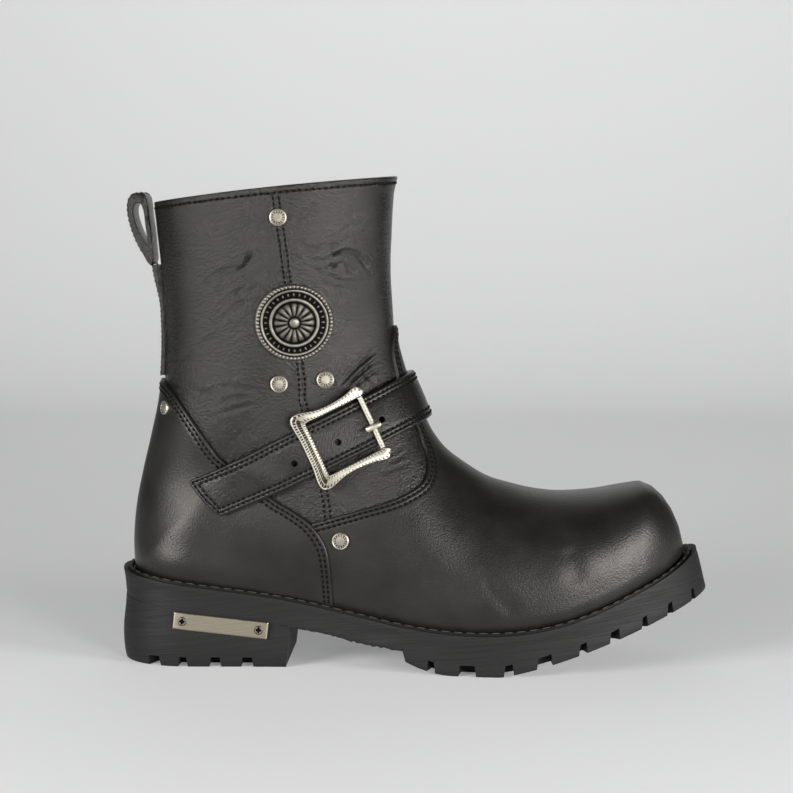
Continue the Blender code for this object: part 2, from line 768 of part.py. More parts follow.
def make_insole():
    def top(x):
        return seat_z(x) + GAP + INSOLE_THICK

    def bottom(x):
        return seat_z(x) + GAP

    shares = stations(0.0, 1.0, 22)
    points, faces, loop = slab([(INSOLE_EDGE, top), (INSOLE_EDGE, bottom)], shares)
    last = 4 * (len(shares) - 1)
    for first in (0, last):
        faces.append(tuple(first + k for k in loop))
    return add_piece("insole", points, faces, LEATHER, 0.8)


def make_welt():
    """A ring of trapezoid section along the sole's rim."""
    profile = [
        (WELT_INNER_LOW, GAP),
        (WELT_INNER_TOP, GAP + WELT_HIGH),
        (WELT_OUTER, GAP + WELT_HIGH),
        (WELT_OUTER, GAP),
    ]
    shares = stations(0.0, 1.0, 34)
    stops = [("lateral", share) for share in shares] + [("medial", share) for share in reversed(shares[1:-1])]
    points = []
    for side, share in stops:
        for ring, lift in profile:
            x = ring["heel"] + (ring["toe"] - ring["heel"]) * share
            points.append((x, outline(x, ring, side), seat_z(x) + lift))
    faces = []
    count = len(stops)
    loop = [0, 1, 2, 3, 0]
    for i in range(count):
        j = (i + 1) % count
        faces += walls_between([4 * i + k for k in loop], [4 * j + k for k in loop])
    return add_piece("welt", points, faces, LEATHER, 0.6)


# Pieces of the upper

def make_upper():
    points, faces = shell(skin_rows(0, V_COLLAR), -UPPER_WALL, 0.0)
    return add_piece("upper", points, faces)


def make_counter():
    edge = smooth_run(COUNTER_EDGE, 3)
    region = edge + [(edge[-1][0], 0.0), (-CUT_REACH, 0.0), (-CUT_REACH, edge[0][1])]
    points, faces = shell(skin_rows(11, 28), GAP, GAP + COUNTER_THICK)
    counter = add_piece("counter", points, faces)
    cut_with(counter, add_cutter("counter_area", *prism(region, 1)), "INTERSECT")
    return counter


def make_vamp():
    seam = smooth_run(COUNTER_EDGE, 3)
    seam = [(x + GAP, z + GAP) for x, z in seam if x > VAMP_CORNER_X]
    edge = [point for point in smooth_run(VAMP_EDGE, 3) if point[0] > seam[0][0] + 1.0]
    region = list(reversed(edge)) + seam + [(seam[-1][0], 0.0), (CUT_REACH, 0.0), (CUT_REACH, edge[-1][1])]
    area = add_cutter("vamp_area", *prism(region, 1))
    heights = [100, 108, 117, 130, 146, 160, 170, 176, 179.6]
    right = [(VAMP_TAB.at("half", z), z) for z in heights]
    left = [(-half, z) for half, z in reversed(right)]
    tab_points, tab_faces = prism(right + left, 0)
    tab_points = [(max(x, TAB_BACK_X), y, z) for x, y, z in tab_points]
    tab = add_cutter("vamp_tab_area", tab_points, tab_faces)
    cut_with(area, tab, "UNION")
    points, faces = shell(skin_rows(0, 19), GAP, GAP + VAMP_THICK)
    vamp = add_piece("vamp", points, faces)
    cut_with(vamp, area, "INTERSECT")
    return vamp


def make_back_strip():
    """A band on the back seam, from the counter up to the pull loop."""
    heights = [STRIP_LOW_Z + (STRIP_TOP_Z - STRIP_LOW_Z) * i / 7 for i in range(8)]
    across = [-STRIP_HALF, -STRIP_HALF / 2, 0.0, STRIP_HALF / 2, STRIP_HALF]
    points = []
    for outer in (0, 1):
        for z in heights:
            thick = STRIP_THICK + STRIP_ROOT * smoothstep(STRIP_TOP_Z - 24, STRIP_TOP_Z, z)
            for y in across:
                place, normal = find_skin((SHAFT_AXIS_X, y, z), (-1, 0, 0))
                points.append(place + normal * (GAP + outer * thick))
    return add_band("back_strip", points, len(heights), len(across))


def add_band(name, points, rows, columns):
    """A strip from an inner and an outer grid of points."""
    size = rows * columns
    faces = grid_faces(rows, columns) + grid_faces(rows, columns, size)
    rim = list(range(columns))
    rim += [columns * i + columns - 1 for i in range(1, rows)]
    rim += [columns * (rows - 1) + j for j in range(columns - 2, -1, -1)]
    rim += [columns * i for i in range(rows - 2, -1, -1)]
    faces += walls_between(rim, [size + k for k in rim])
    return add_piece(name, points, faces)


def make_pull_loop():
    outer = smooth_run(LOOP_OUTER + LOOP_OUTER[:1], 2)[:-1]
    gap = smooth_run(LOOP_GAP + LOOP_GAP[:1], 2)[:-1]
    faces = []
    points = []
    for side in (-STRIP_HALF, STRIP_HALF):
        points += [(x, side, z) for x, z in outer]
    count = len(outer)
    for i in range(count):
        j = (i + 1) % count
        faces.append((i, j, count + j, count + i))
    faces.append(tuple(range(count)))
    faces.append(tuple(range(2 * count - 1, count - 1, -1)))
    loop = add_piece("pull_loop", points, faces)
    cut_with(loop, add_cutter("pull_loop_gap", *prism(gap, 1)), "DIFFERENCE")
    return loop


# Strap and buckle

STRAP_ALONG = Vector((math.cos(STRAP_LEAN), 0, math.sin(STRAP_LEAN)))
STRAP_ACROSS = Vector((-math.sin(STRAP_LEAN), 0, math.cos(STRAP_LEAN)))
OUTWARD = Vector((0, -1, 0))


def strap_lift(place, across):
    """Clearance under the strap: over the counter, down onto the shaft, and over the vamp's tab."""
    lift = GAP + STRAP_SLACK
    if place.y < 0:
        edge_x = COUNTER_STEP_X + COUNTER_STEP_SLANT * across
        on_counter = 1 - smoothstep(edge_x, edge_x + COUNTER_STEP_RUN, place.x)
        lift += (GAP + COUNTER_THICK + COUNTER_SLACK) * on_counter
    lift += (GAP + VAMP_THICK) * smoothstep(*TAB_STEP_X, place.x)
    return lift


def strap_point(angle, across, height):
    hub = Vector((STRAP_HUB[0], 0, STRAP_HUB[1])) + STRAP_ACROSS * across
    direction = STRAP_ALONG * math.cos(angle) + OUTWARD * math.sin(angle)
    place, normal = find_skin(hub, direction)
    return place + normal * (strap_lift(place, across) + height)


def make_strap():
    steps = 38
    rows = [-STRAP_HALF, -STRAP_HALF / 2, 0.0, STRAP_HALF / 2, STRAP_HALF]
    points = []
    for height in (0.0, STRAP_THICK):
        for i in range(steps + 1):
            share = i / steps
            taper = 1 - STRAP_END_TAPER * (1 - share) ** 4
            for across in rows:
                slant = STRAP_END_SLANT * across * (1 - share) ** 6
                angle = STRAP_END_ANGLE + (STRAP_FAR_ANGLE - STRAP_END_ANGLE) * share + slant
                points.append(strap_point(angle, across * taper, height))
    return add_band("strap", points, steps + 1, len(rows))


def on_buckle(a, b, height):
    """Point of the buckle at a along and b across the strap, resting on the strap."""
    centre = Vector((BUCKLE_CENTRE[0], 0, BUCKLE_CENTRE[1]))
    start = centre + STRAP_ALONG * a + STRAP_ACROSS * b
    place, normal = find_skin(start, OUTWARD)
    lift = strap_lift(place, b) + STRAP_THICK + GAP + STRAP_SLACK
    return place + normal * lift + BUCKLE_FACE * height


def buckle_face():
    centre = Vector((BUCKLE_CENTRE[0], 0, BUCKLE_CENTRE[1]))
    return find_skin(centre, OUTWARD)[1]


BUCKLE_FACE = buckle_face()


def make_buckle_frame():
    upper = list(range(len(BUCKLE.keys)))
    stops = [(row, 1) for row in upper] + [(row, -1) for row in reversed(upper[:-1])]
    points = []
    for row, side in stops:
        outer = (BUCKLE.at("outer_a", row), side * BUCKLE.at("outer_b", row))
        inner = (BUCKLE.at("inner_a", row), side * BUCKLE.at("inner_b", row))
        ridge = [0.6 * p + 0.4 * q for p, q in zip(outer, inner)]
        points.append(on_buckle(*outer, 0.0))
        points.append(on_buckle(*outer, 0.65 * BUCKLE_THICK))
        points.append(on_buckle(*ridge, BUCKLE_THICK))
        points.append(on_buckle(*inner, 0.65 * BUCKLE_THICK))
        points.append(on_buckle(*inner, 0.0))
    faces = []
    loop = [0, 1, 2, 3, 4, 0]
    for i in range(len(stops) - 1):
        faces += walls_between([5 * i + k for k in loop], [5 * i + 5 + k for k in loop])
    for first in (0, 5 * (len(stops) - 1)):
        faces.append(tuple(first + k for k in range(5)))
    return add_piece("buckle_frame", points, faces, NICKEL, 0.35, 1.0)


def make_buckle_bar():
    sides = 10
    stops = [BAR_HALF * (i / 4 - 1) for i in range(9)]
    points = []
    for b in stops:
        for k in range(sides):
            turn = 2 * math.pi * k / sides
            along = STRAP_ALONG * (BAR_RADIUS * math.cos(turn))
            points.append(on_buckle(BAR_A, b, BAR_LIFT + BAR_RADIUS * math.sin(turn)) + along)
    ring = list(range(sides)) + [0]
    faces = [tuple(range(sides)), tuple(sides * (len(stops) - 1) + k for k in range(sides))]
    for i in range(len(stops) - 1):
        faces += walls_between([sides * i + k for k in ring], [sides * (i + 1) + k for k in ring])
    return add_piece("buckle_bar", points, faces, NICKEL, 0.3, 1.0)


def make_buckle_prong():
    """A short prong, bent over the bar."""
    tip_low = 1.0
    wall = 1.1
    notch = BAR_RADIUS + GAP + 0.05
    profile = [(9.3, tip_low), (9.3, 2.3), (11.4, 3.6)]
    profile += [(13.0, BAR_LIFT + notch + wall), (15.4, BAR_LIFT + notch + wall)]
    profile += [(17.0, 3.6), (18.1, 2.4), (18.1, tip_low), (BAR_A + notch, tip_low)]
    for k in range(7):
        turn = math.pi * k / 6
        profile.append((BAR_A + notch * math.cos(turn), BAR_LIFT + notch * math.sin(turn)))
    profile.append((BAR_A - notch, tip_low))
    base = on_buckle(BAR_A, PRONG_B, 0.0)
    points = []
    for b in (-PRONG_HALF, PRONG_HALF):
        for a, height in profile:
            points.append(base + STRAP_ALONG * (a - BAR_A) + STRAP_ACROSS * b + BUCKLE_FACE * height)
    count = len(profile)
    faces = [tuple(range(count)), tuple(range(2 * count - 1, count - 1, -1))]
    for i in range(count):
        j = (i + 1) % count
        faces.append((i, j, count + j, count + i))
    return add_piece("buckle_prong", points, faces, NICKEL, 0.3, 1.0)


# Round trim and the heel plate

def add_disc(name, centre, outward, profile, under, sides, colour=NICKEL):
    """A turned disc that follows the skin: profile rows are radius and height over what lies under it."""
    outward = Vector(outward).normalized()
    across = Vector((0, 0, 1)).cross(outward).normalized()
    up = outward.cross(across)
    points = []
    for top in (0, 1):
        for radius, height in profile:
            for k in range(sides):
                turn = 2 * math.pi * k / sides
                start = Vector(centre) + across * (radius * math.cos(turn)) + up * (radius * math.sin(turn))
                place, normal = find_skin(start, outward)
                points.append(place + normal * (under + GAP + top * height))
    rings = len(profile)
    ring = list(range(sides)) + [0]
    faces = []
    for top in (0, 1):
        for i in range(rings - 1):
            first = (top * rings + i) * sides
            faces += walls_between([first + k for k in ring], [first + sides + k for k in ring])
    edge = (rings - 1) * sides
    faces += walls_between([edge + k for k in ring], [rings * sides + edge + k for k in ring])
    return add_piece(name, points, faces, colour, 0.35, 1.0)


def make_round_trim():
    for name, x, z, under in RIVETS:
        add_disc(name, (x, 0, z), OUTWARD, RIVET_PROFILE, under, 12)
    back = (-math.cos(COUNTER_RIVET_TURN), -math.sin(COUNTER_RIVET_TURN), 0)
    place = (SHAFT_AXIS_X, 0, COUNTER_RIVET_Z)
    add_disc("rivet_counter", place, back, COUNTER_RIVET_PROFILE, GAP + COUNTER_THICK, 12)
    x, z = MEDALLION_AT
    add_disc("medallion", (x, 0, z), OUTWARD, MEDALLION_PROFILE, 0.0, 24)


def on_heel_side(along, up, height):
    """Point on the heel's outer side, in the plate's own leaning axes."""
    x = PLATE_CENTRE[0] + along * math.cos(PLATE_LEAN) - up * math.sin(PLATE_LEAN)
    z = PLATE_CENTRE[1] + along * math.sin(PLATE_LEAN) + up * math.cos(PLATE_LEAN)
    ring = {"heel": HEEL_SIDE.at("heel", 14), "toe": RIM["toe"], "inset": 0.0}
    return Vector((x, outline(x, ring, "lateral") - GAP - height, z))


def make_heel_plate():
    columns = [PLATE_HALF_LONG * (i / 4 - 1) for i in range(9)]
    points = []
    for height in (0.0, PLATE_THICK):
        for up in (-PLATE_HALF_HIGH, PLATE_HALF_HIGH):
            for along in columns:
                points.append(on_heel_side(along, up, height))
    plate = add_band("heel_plate", points, 2, len(columns))
    plate.data.materials[0] = finish_material("heel_plate", NICKEL, 0.35, 1.0)
    sides = 10
    for name, along in (("plate_screw_back", -SCREW_FROM_CENTRE), ("plate_screw_front", SCREW_FROM_CENTRE)):
        points = []
        for height in (0.0, SCREW_HIGH):
            for k in range(sides):
                turn = 2 * math.pi * k / sides
                spot = (along + SCREW_RADIUS * math.cos(turn), SCREW_RADIUS * math.sin(turn))
                points.append(on_heel_side(*spot, PLATE_THICK + GAP + height))
        ring = list(range(sides)) + [0]
        faces = [tuple(range(sides)), tuple(range(2 * sides - 1, sides - 1, -1))]
        faces += walls_between(ring, [sides + k for k in ring])
        add_piece(name, points, faces, NICKEL, 0.35, 1.0)


def stand_on_origin():
    """Parents the pieces to one empty that puts the middle of their footprint at the origin."""
    root = bpy.data.objects.new("boot", None)
    bpy.context.collection.objects.link(root)
    pieces = [item for item in bpy.data.objects if item.type == "MESH"]
    seen = [item for item in pieces if not item.hide_render]
    corners = [Vector(corner) for item in seen for corner in item.bound_box]
    middle_x = (min(c.x for c in corners) + max(c.x for c in corners)) / 2
    middle_y = (min(c.y for c in corners) + max(c.y for c in corners)) / 2
    for item in pieces:
        item.parent = root
    root.location = (-middle_x, -middle_y, 0.0)


def main():
    clear_scene()
    make_outsole()
    make_heel()
    make_insole()
    make_welt()
    make_upper()
    make_counter()
    make_vamp()
    make_back_strip()
    make_pull_loop()
    make_strap()
    make_buckle_frame()
    make_buckle_bar()
    make_buckle_prong()
    make_round_trim()
    make_heel_plate()
    stand_on_origin()


main()
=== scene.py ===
import math

import bmesh
import bpy
import numpy as np
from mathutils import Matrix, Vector
from mathutils.bvhtree import BVHTree


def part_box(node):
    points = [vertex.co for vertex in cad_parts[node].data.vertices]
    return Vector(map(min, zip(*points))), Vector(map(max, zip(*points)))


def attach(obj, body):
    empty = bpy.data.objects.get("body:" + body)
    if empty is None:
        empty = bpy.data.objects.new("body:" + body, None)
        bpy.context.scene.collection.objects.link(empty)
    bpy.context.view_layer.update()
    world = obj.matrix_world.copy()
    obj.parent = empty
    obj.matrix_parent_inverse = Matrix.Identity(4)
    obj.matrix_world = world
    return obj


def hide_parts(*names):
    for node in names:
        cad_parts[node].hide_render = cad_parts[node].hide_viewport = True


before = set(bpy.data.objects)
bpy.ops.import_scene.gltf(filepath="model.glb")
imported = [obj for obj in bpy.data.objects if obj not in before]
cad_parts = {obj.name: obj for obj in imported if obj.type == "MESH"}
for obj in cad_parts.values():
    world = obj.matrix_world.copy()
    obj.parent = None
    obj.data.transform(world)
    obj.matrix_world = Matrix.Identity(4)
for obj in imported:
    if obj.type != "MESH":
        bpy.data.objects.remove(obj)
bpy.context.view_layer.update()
mm = 0.001
gap = 0.3  # clearance between the solids, in mm like every size below
print("frame loaded:", len(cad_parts), "nodes")


# the last: the same driving sizes as the solids

def table(columns, rows):
    data = np.array(rows, float)
    return {name: data[:, i] for i, name in enumerate(columns.split())}


def at(rows, name, key):  # smooth curve through a table's rows, over its first column
    key = np.asarray(key, float)
    keys = next(iter(rows.values()))
    values = rows[name]
    slopes = np.gradient(values, keys)
    i = np.clip(np.searchsorted(keys, key) - 1, 0, len(keys) - 2)
    span = keys[i + 1] - keys[i]
    t = np.clip((key - keys[i]) / span, 0, 1)
    rise = t * t * (3 - 2 * t)
    bend = slopes[i] * t * (1 - t) ** 2 + slopes[i + 1] * t * t * (t - 1)
    return values[i] * (1 - rise) + values[i + 1] * rise + bend * span


def ease(low, high, value):
    t = np.clip((np.asarray(value, float) - low) / (high - low), 0, 1)
    return t * t * (3 - 2 * t)


last = {
    "toeCap": 85.0, "heelCap": -118.0, "capPower": 2.25,
    "inflare": 6.0, "inflareFrom": 70.0, "inflareTo": 160.0,
    "flatBack": 22.0, "flatFront": 46.0, "treadBack": -4.0,
    "toeSpring": 0.106, "toeSpringPower": 1.25, "waistSpring": 0.0096,
    "breastLow": -67.5, "breastLean": 2.5, "heelHigh": 33.0,
    "noseBack": 121.0, "noseTop": 93.2, "nosePower": 1.8,
    "crown": 1.6, "crownRows": 6, "vHeel": 21, "vCollar": 30,
    "swingRows": (10, 20), "swingHigh": (5, 70),  # here the upper's middle leaves the sole's middle line
    "wall": 2.0, "vampThick": 1.5, "counterThick": 2.0,
}
rings = {  # where each ring of the sole ends, and how far in from the widest edge it runs
    "rim": {"heel": -158.6, "toe": 152.5, "inset": 0.4},
    "mid": {"heel": -157.8, "toe": 154.6, "inset": 0.6},
    "low": {"heel": -157.1, "toe": 157.8, "inset": 0.0},
    "feather": {"heel": -150.0, "toe": 143.9, "inset": 6.5},
    "insole": {"heel": -146.4, "toe": 140.3, "inset": 10.2},
}
soleWidth = table("x lateral medial", [
    (-160, 37.5, 37.5), (-120, 37.5, 37.0), (-90, 36.5, 34.5), (-60, 36.5, 32.0), (-30, 41.0, 34.0),
    (0, 48.5, 41.5), (30, 54.5, 50.0), (55, 56.0, 53.5), (80, 54.5, 54.0), (105, 51.0, 53.0), (130, 47.5, 50.5),
    (160, 44.0, 48.0)])
seat = table("x z", [
    (-160, 49.4), (-135, 45.8), (-114, 42.8), (-93, 40.0), (-72, 37.0), (-50, 32.9), (-29, 28.8), (-8, 24.9),
    (13, 22.4), (34, 21.6), (55, 22.6), (75, 26.0), (97, 33.0), (119, 42.4), (131, 47.8), (142, 53.8),
    (152, 60.0), (162, 66.0)])
arch = table("x z", [
    (-160, 35.0), (-130, 31.0), (-100, 26.6), (-80, 23.6), (-65, 21.5), (-48, 18.8), (-26, 14.2), (-4, 11.6)])
heelSide = table("z heel inset", [
    (0, -157.6, 1.0), (4, -158.4, 0.4), (14, -159.0, 0.0), (33, -157.2, 0.9)])
sections = table("row crestX crestZ baseX baseZ width wideAt power baseWidth", [
    (0, 121.0, 93.2, 121.0, 33.0, 40.2, 0.78, 2.6, 29.4),
    (1, 110.0, 91.4, 110.0, 33.0, 45.8, 0.80, 2.55, 29.4),
    (2, 98.0, 89.4, 98.0, 33.0, 49.2, 0.82, 2.5, 29.4),
    (3, 86.0, 88.6, 86.0, 33.0, 51.0, 0.84, 2.4, 29.4),
    (4, 74.0, 88.7, 74.0, 33.0, 51.6, 0.85, 2.3, 29.4),
    (5, 62.0, 90.4, 62.0, 33.0, 51.6, 0.85, 2.2, 29.4),
    (6, 50.0, 93.4, 50.0, 33.0, 51.0, 0.83, 2.1, 29.4),
    (7, 38.0, 97.4, 38.0, 33.0, 49.6, 0.80, 2.0, 29.4),
    (8, 27.0, 104.0, 27.0, 33.0, 48.0, 0.76, 1.95, 29.4),
    (9, 15.6, 112.8, 16.0, 33.0, 46.4, 0.70, 1.92, 29.4),
    (10, 7.9, 123.0, 3.0, 33.0, 44.9, 0.65, 1.9, 29.4),
    (11, 3.0, 133.2, -15.0, 33.0, 43.5, 0.62, 1.9, 29.4),
    (12, -1.2, 142.6, -37.0, 33.0, 42.6, 0.59, 1.92, 29.4),
    (13, -5.1, 152.2, -60.0, 33.0, 42.1, 0.56, 1.94, 29.4),
    (14, -8.3, 161.8, -84.0, 33.0, 42.2, 0.54, 1.96, 29.4),
    (15, -10.4, 170.4, -106.0, 33.0, 42.9, 0.52, 1.98, 29.4),
    (16, -11.3, 177.4, -124.0, 33.0, 43.6, 0.50, 2.0, 29.4),
    (17, -11.8, 183.3, -138.0, 33.0, 44.1, 0.50, 2.0, 29.4),
    (18, -12.2, 188.5, -146.6, 33.0, 44.4, 0.50, 2.0, 29.4),
    (19, -12.5, 193.0, -149.5, 33.0, 44.5, 0.50, 2.0, 31.6),
    (20, -12.7, 197.2, -150.0, 48.1, 44.5, 0.50, 2.0, 30.9),
    (21, -12.9, 202.4, -149.6, 65.0, 44.55, 0.50, 2.0, 32.6),
    (22, -13.0, 208.2, -148.2, 82.0, 45.3, 0.50, 2.0, 35.4),
    (23, -13.0, 214.2, -144.6, 101.0, 46.2, 0.50, 2.0, 38.5),
    (24, -12.9, 220.8, -140.0, 121.0, 47.1, 0.50, 2.0, 41.6),
    (25, -12.6, 228.2, -136.3, 142.5, 48.2, 0.50, 2.0, 44.6),
    (26, -12.3, 236.0, -134.4, 166.0, 49.4, 0.50, 2.0, 47.4),
    (27, -11.8, 244.0, -134.8, 192.0, 50.6, 0.50, 2.0, 49.8),
    (28, -11.2, 252.0, -137.2, 219.0, 51.7, 0.50, 2.0, 51.6),
    (29, -9.3, 259.6, -140.3, 246.0, 52.6, 0.50, 2.0, 52.6),
])
back = table("z x roundX roundPower", [
    (48.1, -150.0, -118.0, 2.25), (65.0, -150.6, -114.0, 2.2), (82.0, -149.2, -109.0, 2.15),
    (101.0, -145.5, -103.0, 2.1), (121.0, -140.6, -96.0, 2.05), (142.5, -136.3, -88.0, 2.0),
    (166.0, -134.4, -81.0, 2.0), (192.0, -134.8, -77.0, 2.0), (219.0, -137.2, -76.0, 2.0),
    (247.0, -140.3, -75.0, 2.0)])

# the solids stand with their footprint centred, so their own axes are shifted by this much
loopLow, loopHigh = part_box("pull_loop")
shift = np.array([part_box("outsole")[1].x - rings["low"]["toe"] * mm, (loopLow.y + loopHigh.y) / 2, 0.0])


def outline(x, ring, side):
    toeRun = (x - last["toeCap"]) / (ring["toe"] - last["toeCap"])
    heelRun = (last["heelCap"] - x) / (last["heelCap"] - ring["heel"])
    run = np.clip(np.maximum(toeRun, heelRun), 0, 1)
    cap = (1 - run ** last["capPower"]) ** (1 / last["capPower"])
    half = (at(soleWidth, side, x) - ring["inset"]) * cap
    centre = last["inflare"] * ease(last["inflareFrom"], last["inflareTo"], x)
    return centre + (half if side == "medial" else -half)


def seatZ(x):
    return at(seat, "z", x)


def treadZ(x):
    ahead = np.maximum(x - last["flatFront"], 0)
    behind = np.maximum(last["flatBack"] - x, 0)
    return last["toeSpring"] * ahead ** last["toeSpringPower"] + last["waistSpring"] * behind ** 2


def underZ(x):
    return np.where(x >= last["treadBack"], treadZ(x), at(arch, "z", x))


def featherHalf(x):
    ends = dict(rings["feather"], heel=-2000.0)
    return (outline(x, ends, "medial") - outline(x, ends, "lateral")) / 2


def section(v):  # crest and base in side view, half widths and roundness, from toe tip to collar
    row = np.maximum(v - 1, 0)
    crestX, crestZ, baseX, baseZ, width, wideAt, power, half = [at(sections, name, row) for name in list(sections)[1:]]
    onSole = v < last["vHeel"]
    baseX = np.where(onSole, np.maximum(baseX, rings["feather"]["heel"]), at(back, "x", baseZ))
    baseZ = np.where(onSole, seatZ(baseX) + gap, baseZ)
    half = np.where(onSole, featherHalf(baseX), half)
    nose = np.cos(math.pi / 2 * np.clip(v, 0, 1))
    noseX = last["noseBack"] + (rings["feather"]["toe"] - last["noseBack"]) * nose
    tipZ = seatZ(rings["feather"]["toe"]) + gap
    top = tipZ + (last["noseTop"] - tipZ) * (1 - nose ** last["nosePower"]) ** (1 / last["nosePower"])
    noseHalf = featherHalf(noseX)
    bulge = (sections["width"][0] - featherHalf(last["noseBack"])) * (1 - nose ** 2)
    inNose = v < 1
    return (np.where(inNose, noseX, crestX), np.where(inNose, top, crestZ),
            np.where(inNose, noseX, baseX), np.where(inNose, seatZ(noseX) + gap, baseZ),
            np.where(inNose, noseHalf, half), np.where(inNose, noseHalf + bulge, width), wideAt, power)


heelCup = {"xFrom": -45.0, "xTo": -115.0, "seat": 2.2, "seatUp": 10.5, "seatHigh": 8.0,
           "waist": -7.2, "waistZ": 99.0, "waistHigh": 27.0}


def cupWidth(x, z):  # fuller just over the sole, drawn in at the ankle
    low = heelCup["seat"] * np.exp(-((z - seatZ(x) - heelCup["seatUp"]) / heelCup["seatHigh"]) ** 2)
    waist = heelCup["waist"] * np.exp(-((z - heelCup["waistZ"]) / heelCup["waistHigh"]) ** 2)
    return ease(heelCup["xFrom"], heelCup["xTo"], x) * (low + waist)


def skin(v, u):  # the upper's outer face: u from -1 at the outer base over the crest to +1
    v, u = np.broadcast_arrays(np.asarray(v, float), np.asarray(u, float))
    crestX, crestZ, baseX, baseZ, half, width, wideAt, power = section(v)
    turn = np.abs(u) * math.pi
    upper = turn <= math.pi / 2
    fall = np.sin(np.maximum(turn - math.pi / 2, 0))
    cos = np.abs(np.cos(np.minimum(turn, math.pi / 2)))
    sin = np.sin(np.minimum(turn, math.pi / 2))
    along = np.where(upper, wideAt * (1 - cos ** (2 / power)), wideAt + (1 - wideAt) * fall)
    across = np.where(upper, width * sin ** (2 / power), half + (width - half) * (1 - fall ** 2))
    x = crestX + (baseX - crestX) * along
    z = crestZ + (baseZ - crestZ) * along
    roundX = at(back, "roundX", z)
    power = at(back, "roundPower", z)
    run = np.clip((roundX - x) / (roundX - at(back, "x", z)), 0, 1)
    across = (across + cupWidth(x, z)) * (1 - run ** power) ** (1 / power)
    z = z + last["crown"] * ease(last["vCollar"] - last["crownRows"], last["vCollar"], v) * 4 * along * (1 - along)
    swing = 1 - ease(*last["swingRows"], v) * ease(*last["swingHigh"], z - seatZ(x))
    feather = rings["feather"]
    middle = (outline(x, feather, "medial") + outline(x, feather, "lateral")) / 2 * swing
    return np.stack([x, middle + np.where(u < 0, -across, across), z], -1)


def slopes(v, u):  # how far the skin's point moves for each step in v and in u
    step = 0.01
    vHigh, vLow = np.minimum(v + step, last["vCollar"]), np.maximum(v - step, 0)
    uHigh, uLow = np.minimum(u + step, 1), np.maximum(u - step, -1)
    alongV = (skin(vHigh, u) - skin(vLow, u)) / (vHigh - vLow)[..., None]
    alongU = (skin(v, uHigh) - skin(v, uLow)) / (uHigh - uLow)[..., None]
    return alongV, alongU


def unit(vectors):
    return vectors / np.maximum(np.linalg.norm(vectors, axis=-1, keepdims=True), 1e-9)


def skinNormal(v, u):
    v, u = np.broadcast_arrays(np.asarray(v, float), np.asarray(u, float))
    alongV, alongU = slopes(v, u)
    normal = unit(np.cross(alongU, alongV))
    seam = (np.abs(u) > 0.9999) & (v >= last["vHeel"])
    normal = np.where(seam[..., None], unit(normal * np.array([1, 0, 1])), normal)
    return np.where((v < 0.01)[..., None], np.array([1.0, 0, 0]), normal)


# creases of the leather in side view: troughs with soft lips, as on the outer side of the shaft

creaseSizes = {"depth": 1.35, "lip": 0.26, "lipAway": 1.9, "lipWide": 1.2, "fadeIn": 0.25, "fadeOut": 0.3,
               "innerShare": 0.6}
creases = [  # depth, width and the path in side view
    (0.8, 1.02, [(-111.0, 208.0), (-102.1, 211.4), (-92.5, 214.6), (-83.6, 218.7), (-73.3, 220.8)]),
    (0.95, 1.1, [(-111.0, 201.2), (-102.8, 207.0), (-93.2, 211.4), (-84.3, 213.8), (-77.0, 217.0)]),
    (0.8, 0.94, [(-100.8, 192.0), (-91.1, 198.8), (-81.6, 201.6), (-77.0, 205.0)]),
    (0.6, 0.94, [(-100.7, 184.6), (-90.4, 193.0), (-82.6, 196.6)]),
    (0.5, 0.85, [(-92.1, 198.9), (-87.0, 204.0), (-82.0, 209.0)]),
    (0.5, 1.27, [(-125.5, 163.9), (-114.6, 170.3), (-98.2, 178.5)]),
    (0.7, 1.02, [(-122.0, 143.6), (-111.2, 147.3), (-94.1, 150.7), (-77.0, 147.3)]),
    (0.6, 0.94, [(-108.0, 133.6), (-95.7, 137.8), (-81.0, 142.2)]),
    (0.45, 0.94, [(-103.0, 141.0), (-93.0, 144.4), (-82.0, 145.4)]),
    (0.4, 0.94, [(-62.0, 235.0), (-52.8, 242.7), (-45.0, 248.6)]),
    (0.7, 0.85, [(-60.5, 224.6), (-49.3, 222.8), (-42.4, 224.2), (-34.0, 223.4)]),
    (0.9, 0.94, [(-47.0, 215.6), (-40.0, 219.6), (-34.0, 221.4), (-29.4, 219.6), (-25.6, 214.6), (-22.4, 208.4)]),
    (0.6, 0.77, [(-55.5, 217.6), (-45.2, 215.9), (-37.0, 217.6)]),
    (0.7, 0.85, [(-47.5, 211.0), (-36.9, 214.6), (-32.9, 211.8), (-29.0, 206.6)]),
    (0.65, 0.85, [(-53.4, 213.6), (-45.9, 209.1), (-35.8, 203.2)]),
    (0.6, 0.85, [(-45.8, 211.6), (-38.3, 206.3), (-30.0, 204.5)]),
    (0.55, 0.85, [(-49.8, 206.4), (-42.0, 203.2), (-33.0, 201.8)]),
    (0.4, 0.85, [(-46.0, 225.0), (-37.7, 230.3), (-29.4, 236.2)]),
    (0.75, 0.94, [(-39.3, 149.5), (-30.2, 159.5), (-18.4, 169.3)]),
    (0.75, 0.94, [(-37.0, 147.3), (-28.0, 156.7), (-17.4, 164.7)]),
    (0.65, 0.94, [(-34.4, 145.5), (-25.4, 154.1), (-16.4, 160.3)]),
    (0.5, 0.94, [(-27.4, 159.5), (-18.3, 148.5)]),
    (0.55, 0.94, [(-15.4, 109.1), (-2.1, 115.3)]),
    (0.5, 0.94, [(-17.4, 105.1), (-1.1, 110.3)]),
    (0.45, 0.85, [(-14.4, 113.1), (-4.1, 119.3)]),
    (0.45, 4, [(36.4, 52.0), (48.0, 40.0), (58.0, 30.0)]),
    (0.5, 5, [(80.0, 68.0), (84.6, 58.0), (86.0, 46.0)]),
]


